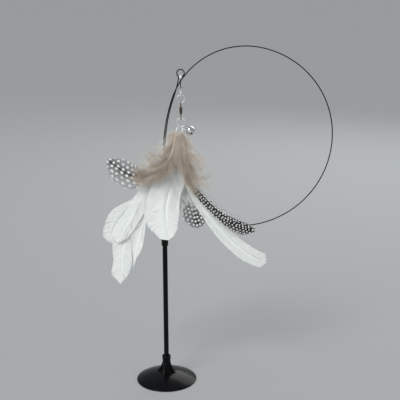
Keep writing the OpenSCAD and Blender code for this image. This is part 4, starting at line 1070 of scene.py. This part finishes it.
# Barbules leave their barb to one side and then to the other, slantwise at first and then bent along it.
def barbuleMesh(look, paths, tone, rng):
    n, rows = paths.shape[:2]
    m = look["barbules"] * 2
    shift = rng.uniform(-look["barbuleShift"], look["barbuleShift"], (n, m))
    spot = np.linspace(*look["barbuleSpan"], m)[None, :] + shift
    row = np.clip(spot * (rows - 1), 0, rows - 1.001)
    low, part = row.astype(int), (row % 1)[..., None]
    which = np.arange(n)[:, None]
    tangents = unit(np.gradient(paths, axis=1))
    base = paths[which, low] * (1 - part) + paths[which, low + 1] * part
    way = unit(tangents[which, low] * (1 - part) + tangents[which, low + 1] * part)
    first = unit(np.cross(way, np.array([0.0, 1.0, 0.001])))  # a hair off Y, which a barb may point along
    second = np.cross(way, first)
    angle = np.where(np.arange(m) % 2, np.pi, 0)[None, :] + rng.normal(0, look["barbuleTurn"], (n, m))
    outward = np.cos(angle)[..., None] * first + np.sin(angle)[..., None] * second
    length = look["barbule"] * (1 - look["barbuleShrink"] * spot) * rng.uniform(*look["barbuleRange"], (n, m))
    length = length[..., None]
    bend = base + length * (0.3 * way + 0.5 * outward)
    end = base + length * (0.75 * way + 0.78 * outward)
    hairs = np.stack([base, bend, end], 2).reshape(n * m, 3, 3)
    radius = look["barbuleRadius"] * np.array(look["barbuleTaper"]) * np.ones((n * m, 1))
    normals = np.repeat(second.reshape(-1, 3)[:, None], 3, 1)
    hairTone = tone + rng.normal(*look["barbuleTone"], (n, m))
    return ribbons(hairs, radius, radius, normals, sides=3), np.repeat(hairTone.reshape(-1), 9)


# Three-sided barbs, thinner towards their ends, with their barbules.
def makeFluff(name, f, look, spine, material, rng):
    paths, normal, tone = fluffBarbs(f, look, spine, rng)
    v = np.linspace(0, 1, paths.shape[1])
    radius = look["barbRadius"] * (1 - look["barbTaper"] * v) * np.ones((len(paths), 1))
    barbs = ribbons(paths, radius, radius, normal, sides=3)
    barbules, hairTone = barbuleMesh(look, paths, tone[:, -1:], rng)
    tones = np.concatenate([np.repeat(tone.reshape(-1), 3), hairTone])
    return makeObject(name, *joined([barbs, barbules]), material, tones)


# What the spotted feathers share, unless one has its own value. Sparse and stray are for left and right.
spottedLook = {
    "quill": 3, "end": 1.0, "tipRound": 0.86, "points": 26, "bend": 1.6, "barbThickness": 0.06, "tilt": 8,
    "uneven": 0.06, "waves": 5, "waveShare": 0.08, "dotCover": 1.25, "dotEdge": 0.2, "dotShift": 0.03,
    "firstRow": 0.1, "scatter": 0.16, "twist": (0, 0), "stray": (0, 0), "strayEvery": 5, "strayEnd": 0.85,
    "strayOver": 0.1, "strayRange": (0.3, 1), "thinLeast": 0.12, "tones": (0.2, 1.0), "toneScatter": 0.08,
}
spotted = {
    "left": {
        "bundle": "left", "length": 93, "width": 27, "layer": fan["downLayer"], "thickness": 5.6,
        "headings": [(0, -17), (0.05, -17), (0.1, -14), (0.15, -13), (0.2, -24), (0.25, -31), (0.3, -37),
                     (0.35, -51), (0.4, -53), (0.45, -62), (0.5, -66), (0.55, -76), (0.6, -89), (0.65, -98),
                     (0.7, -108), (0.75, -119), (0.8, -123), (0.9, -125), (0.95, -129), (1, -138)],
        "thicks": [(0, 0), (0.1, 0.12), (0.25, 0.6), (0.4, 1), (0.55, 0.9), (0.7, 0.4), (0.85, 0.2)],
        "widths": [(0, 0.32), (0.06, 0.55), (0.14, 0.9), (0.3, 1.1), (0.45, 1.05), (0.56, 0.85), (0.66, 0.55),
                   (1, 0.3)],
        "down": {"to": 0.6, "sides": (1, 0.8), "tipPale": 0.4},
        "haze": {"to": 0.62, "sides": (1.2, 0.7), "stray": (1.15, 2.1), "tipPale": 0.6},
        "leftVane": [(0, 0), (0.5, 0.5), (0.6, 0.72), (0.72, 0.84), (0.86, 0.76), (0.95, 0.55), (1, 0.36)],
        "rightVane": [(0, 0), (0.5, 0.5), (0.6, 0.8), (0.72, 0.96), (0.85, 0.94), (0.91, 0.82), (0.96, 0.56),
                      (1, 0.3)],
        "start": 0.56, "barbs": 92, "reach": 0.17, "cover": 0.75, "widest": 0.32, "spotWidest": 1.0,
        "rowGap": 4.1, "dotGap": 5.4, "dotRadius": 1.2, "dotStretch": 0.85, "sparse": (0.86, 0.84),
        "thinning": 0.8, "shaft": (0.45, 0.44), "seed": 21,
    },
    "right": {
        "bundle": "right", "length": 124.3, "width": 22, "layer": fan["downLayer"], "thickness": 5.6,
        "headings": [(0, -2), (0.05, -8), (0.1, 3), (0.15, 13), (0.25, 12), (0.3, 17), (0.35, 26), (0.4, 36),
                     (0.45, 39), (0.55, 40), (0.6, 45), (0.7, 49), (0.75, 56), (0.8, 59), (0.85, 65),
                     (0.9, 69), (1, 76)],
        "thicks": [(0, 0), (0.08, 0.12), (0.2, 0.6), (0.33, 1), (0.45, 0.9), (0.6, 0.6)],
        "widths": [(0, 0.4), (0.05, 0.75), (0.12, 1.1), (0.2, 1.35), (0.32, 1.45), (0.42, 1.3), (0.5, 0.8),
                   (1, 0.3)],
        "down": {"to": 0.3, "rise": 10, "front": (0.9, 0.9), "wide": 0.42, "sides": (0.6, 1.35)},
        "haze": {"to": 0.4, "rise": 11, "front": (0.9, 0.9), "tone": 0.68, "sides": (0.3, 1.1),
                 "stray": (1, 1.25)},
        "leftVane": [(0, 0), (0.36, 0.16), (0.43, 0.21), (0.6, 0.25), (0.72, 0.32), (0.81, 0.42),
                     (0.88, 0.66), (0.94, 0.72), (1, 0.4)],
        "rightVane": [(0, 0), (0.36, 0.16), (0.43, 0.2), (0.6, 0.24), (0.72, 0.31), (0.81, 0.42),
                      (0.94, 0.46), (1, 0.3)],
        "start": 0.36, "end": 1.03, "barbs": 190, "reach": 0.1, "cover": 1.2, "widest": 0.6,
        "spotWidest": 0.9, "rowGap": 2.3, "dotGap": 3.2, "dotRadius": 0.62, "dotStretch": 0.9,
        "scatter": 0.34, "twist": (15, 5), "sparse": (1.1, 1.5), "thinning": 1.6, "stray": (0.6, 2.6),
        "shaft": (0.4, 0.2), "seed": 22,
    },
    "round": {
        "bundle": "right", "quill": 0, "length": 94, "width": 20, "layer": fan["backLayer"], "thickness": 3.0,
        "headings": [(0, 2), (0.1, 5), (0.45, 7), (0.6, 11), (0.84, 16), (1, 20)],
        "thicks": [(0, 0.6), (1, 1)],
        "widths": [(0, 0), (0.66, 0.6), (0.74, 0.85), (0.82, 1.05), (0.9, 1.1), (1, 1)],
        "start": 0.68, "barbs": 100, "reach": 0.16, "cover": 0.95, "widest": 0.34, "spotWidest": 1.0,
        "rowGap": 3.4, "dotGap": 4.1, "dotRadius": 1.05, "dotStretch": 1.0, "sparse": (0.35, 0.35),
        "thinning": 0.7, "shaft": (0.34, 0.14), "seed": 23,
        "fluff": {"from": 0.3, "to": 0.74, "barbs": 210, "least": 9.5, "wide": 1.0, "barbule": 3.2},
    },
}


# 1 in a dot and 0 outside: a dot is where the place on the vane, along the shaft and out from it, lies within
# the dot's radius of a point of a staggered net. A sine of the point's own numbers scatters it.
def dotsAt(f, share, out, length, way, rng):
    line = out / f["rowGap"] + f["firstRow"]
    shift = rng.normal(0, f["dotShift"], (len(out), 1))
    along = share * length / f["dotGap"] + 0.5 * (np.floor(line) % 2) + shift
    cell = np.sin(np.floor(along) * 12.99 + np.floor(line) * 78.23 + way) * 437.58 % 1 - 0.5
    apart = np.hypot((line % 1 - 0.5 + f["scatter"] * cell) * f["rowGap"],
                     (along % 1 - 0.5 - f["scatter"] * cell) * f["dotGap"] * f["dotStretch"])
    return np.clip((f["dotRadius"] - apart) / f["dotEdge"] + 0.5, 0, 1)


# Dark barbs that part from each other and thin out, crossed by rows of round white dots, where a barb is
# white and widens to its neighbours. The vane turns about its shaft from its first twist to its second.
def makeSpottedVane(name, f, spine, rng):
    parts, tones = [], []
    count = f["barbs"]
    root = f["start"] + (1 - f["start"]) * (np.arange(count) + 0.5) / count
    tip = root + f["reach"] * (f["end"] - root) ** 0.5
    v = np.linspace(0, 1, f["points"])[None, :]
    share = root[:, None] + (tip - root)[:, None] * v
    at, straight, level = alongSpine(spine, share)[:3]
    twist = np.radians(np.interp(share, [f["start"], 1], f["twist"]))[..., None]
    side = np.cos(twist) * straight + np.sin(twist) * level
    normal = np.cos(twist) * level - np.sin(twist) * straight
    strays = np.arange(count) % f["strayEvery"] == f["strayEvery"] // 2
    strays = strays * np.clip((f["strayEnd"] - root) / f["strayOver"], 0, 1)
    for way, sparse, strayBy in zip(edgeNames, f["sparse"], f["stray"]):
        outline = halfWidthAt(f, tip, f["tipRound"], edgeNames[way]) * (1 + rng.normal(0, f["uneven"], count))
        stray = 1 + strayBy * strays * rng.uniform(*f["strayRange"], count)
        out = (outline * stray)[:, None] * (1 - (1 - v) ** f["bend"])
        wave = f["waveShare"] * out * np.sin(f["waves"] * v + rng.uniform(0, 6, (count, 1)))
        paths = bowed(at + (way * out)[..., None] * side + wave[..., None] * normal, share, spine)
        dot = dotsAt(f, share, out, spine["length"], way, rng)
        thin = 1 - sparse * np.clip(out / (f["width"] / 2), 0, 1) ** f["thinning"]
        thin = np.maximum(thin, f["thinLeast"])
        half = barbWidths(paths, f["cover"], f["widest"], v) * thin
        wideHalf = barbWidths(paths, f["dotCover"], f["spotWidest"], v) * thin ** 0.5
        half = half + (wideHalf - half) * dot
        thick = np.full(half.shape, f["barbThickness"])
        parts.append(ribbons(paths, half, thick, normal, math.radians(f["tilt"]) * way))
        tone = np.interp(dot, [0, 1], f["tones"]) + rng.normal(0, f["toneScatter"], (count, 1))
        tones.append(np.repeat(np.clip(tone, 0, 1).reshape(-1), 4))
    return makeObject(name, *joined(parts), spottedVane, np.concatenate(tones))


coats = {"down": (downLook, brownDown, "brown_down"), "haze": (hazeLook, brownDown, "brown_down"),
         "fluff": (whiteFluff, whiteVane, "white_vane")}
for key, own in spotted.items():
    f = {**spottedLook, **own}
    rng = np.random.default_rng(f["seed"])
    spine = spineOf(f, f["layer"])
    body, name = f["bundle"] + "_bundle", "spotted" + key.capitalize()
    shaft = makeShaft(name + "Shaft", spine, *f["shaft"], spottedQuill)
    place(makeSpottedVane(name + "Vane", f, spine, rng), body, "spotted_vane", "spotted_feather_" + key)
    for coat, (look, material, slotName) in coats.items():
        if coat in f:
            fluff = makeFluff(name + coat.capitalize(), f, {**look, **f[coat]}, spine, material, rng)
            place(fluff, body, slotName)
    place(shaft, body, "spotted_vane")
print("spotted feathers made")

for key, own in feathers.items():
    f = {**vaneLook, **own}
    rng = np.random.default_rng(f["seed"])
    spine = spineOf(f, fan["backLayer"] - f["layer"] * fan["step"])
    body = f["bundle"] + "_bundle"
    fluff = makeFluff(key + "Fluff", f, {**whiteFluff, **f["fluff"]}, spine, whiteVane, rng)
    place(makeWhiteVane(key + "Vane", f, spine, rng), body, "white_vane", "white_feather_" + key)
    place(makeShaft(key + "Shaft", spine, *f["shaft"], quillCream), body, "white_vane")
    place(fluff, body, "white_vane")
print("white feathers made")

# The stage and its lamps are in metres. A lamp's size is a sun's angle in degrees or a panel's side.
stage = {"floorRadius": 18.0, "floorColour": (0.33, 0.342, 0.34), "backColour": (0.323, 0.342, 0.347),
         "skyColour": (0.94, 0.965, 1.0), "skyStrength": 0.66}
lamps = {
    "keySun": {"kind": "SUN", "place": (-0.9, -1.3, 1.7), "aim": (0, 0, 0.16), "power": 1.45, "size": 24},
    "keyPanel": {"kind": "AREA", "place": (-0.9, -1.1, 0.95), "aim": (0.02, 0, 0.24), "power": 3.6,
                 "size": 0.8},
    "fillPanel": {"kind": "AREA", "place": (1.2, -0.7, 0.6), "aim": (0.03, 0, 0.16), "power": 2.5,
                  "size": 0.9, "glossy": False},
    "rimPanel": {"kind": "AREA", "place": (0.5, 1.1, 0.9), "aim": (0.03, 0, 0.2), "power": 5.5, "size": 0.9},
}


# A matt grey disc so wide that its edge lies near the horizon.
def makeFloor(c):
    floorMesh = bpy.data.meshes.new("floor")
    a = np.linspace(0, 2 * np.pi, 96, endpoint=False)
    rim = np.stack([np.cos(a), np.sin(a), 0 * a], -1) * c["floorRadius"]
    floorMesh.from_pydata(rim.tolist(), [], [list(range(len(a)))])
    floor = addToScene("floor", floorMesh)
    material, tree, shader = newMaterial("floorPale")
    setInputs(tree, shader, {
        "Base Color": (*c["floorColour"], 1), "Roughness": 0.9, "Specular IOR Level": 0.1})
    floorMesh.materials.append(material)


# The camera, mirrors and glass see a grey backdrop, and the rest is lit by a soft sky: the world mixes the
# two by the largest of the three kinds of ray.
def makeWorld(c):
    world = bpy.data.worlds.new("softWorld")
    bpy.context.scene.world = world
    world.use_nodes = True
    tree = world.node_tree
    sky = tree.nodes["Background"]
    setInputs(tree, sky, {"Color": (*c["skyColour"], 1), "Strength": c["skyStrength"]})
    back = addNode(tree, "Background", {"Color": (*c["backColour"], 1)})
    rays = addNode(tree, "LightPath").outputs
    seen = addNode(tree, "Math", {0: rays["Is Camera Ray"], 1: rays["Is Glossy Ray"]}, operation="MAXIMUM")
    seen = addNode(tree, "Math", {0: seen.outputs[0], 1: rays["Is Transmission Ray"]}, operation="MAXIMUM")
    mix = addNode(tree, "MixShader", {"Fac": seen.outputs[0], 1: sky.outputs[0], 2: back.outputs[0]})
    setInputs(tree, tree.nodes["World Output"], {"Surface": mix.outputs[0]})


# A lamp at its place, turned to its aim.
def makeLight(name, c):
    data = bpy.data.lights.new(name, c["kind"])
    data.energy = c["power"]
    if c["kind"] == "SUN":
        data.angle = math.radians(c["size"])
    else:
        data.shape, data.size = "SQUARE", c["size"]
    light = addToScene(name, data)
    light.location = c["place"]
    light.visible_glossy = c.get("glossy", True)
    light.rotation_euler = (Vector(c["aim"]) - Vector(c["place"])).to_track_quat("-Z", "Y").to_euler()


makeFloor(stage)
makeWorld(stage)
for name, lamp in lamps.items():
    makeLight(name, lamp)

view = {"place": (0.034396, -0.837143, 0.412012), "pitch": 15, "roll": -0.2, "lens": 81, "sensor": 36}


# The photograph's own view: level across but for a small roll, looking down by its pitch.
def makeCamera(c):
    data = bpy.data.cameras.new("photoCamera")
    data.lens, data.sensor_width = c["lens"], c["sensor"]
    pitch, roll = math.radians(c["pitch"]), math.radians(c["roll"])
    forward = Vector((0, math.cos(pitch), -math.sin(pitch)))
    level = Vector((1, 0, 0))
    up = level.cross(forward)
    right = level * math.cos(roll) + up * math.sin(roll)
    up = up * math.cos(roll) - level * math.sin(roll)
    turned = Matrix((right, up, -forward)).transposed().to_4x4()
    camera = addToScene("photoCamera", data)
    camera.matrix_world = Matrix.Translation(c["place"]) @ turned
    bpy.context.scene.camera = camera


makeCamera(view)
bpy.context.scene.view_settings.view_transform = "Standard"
print("stage made")
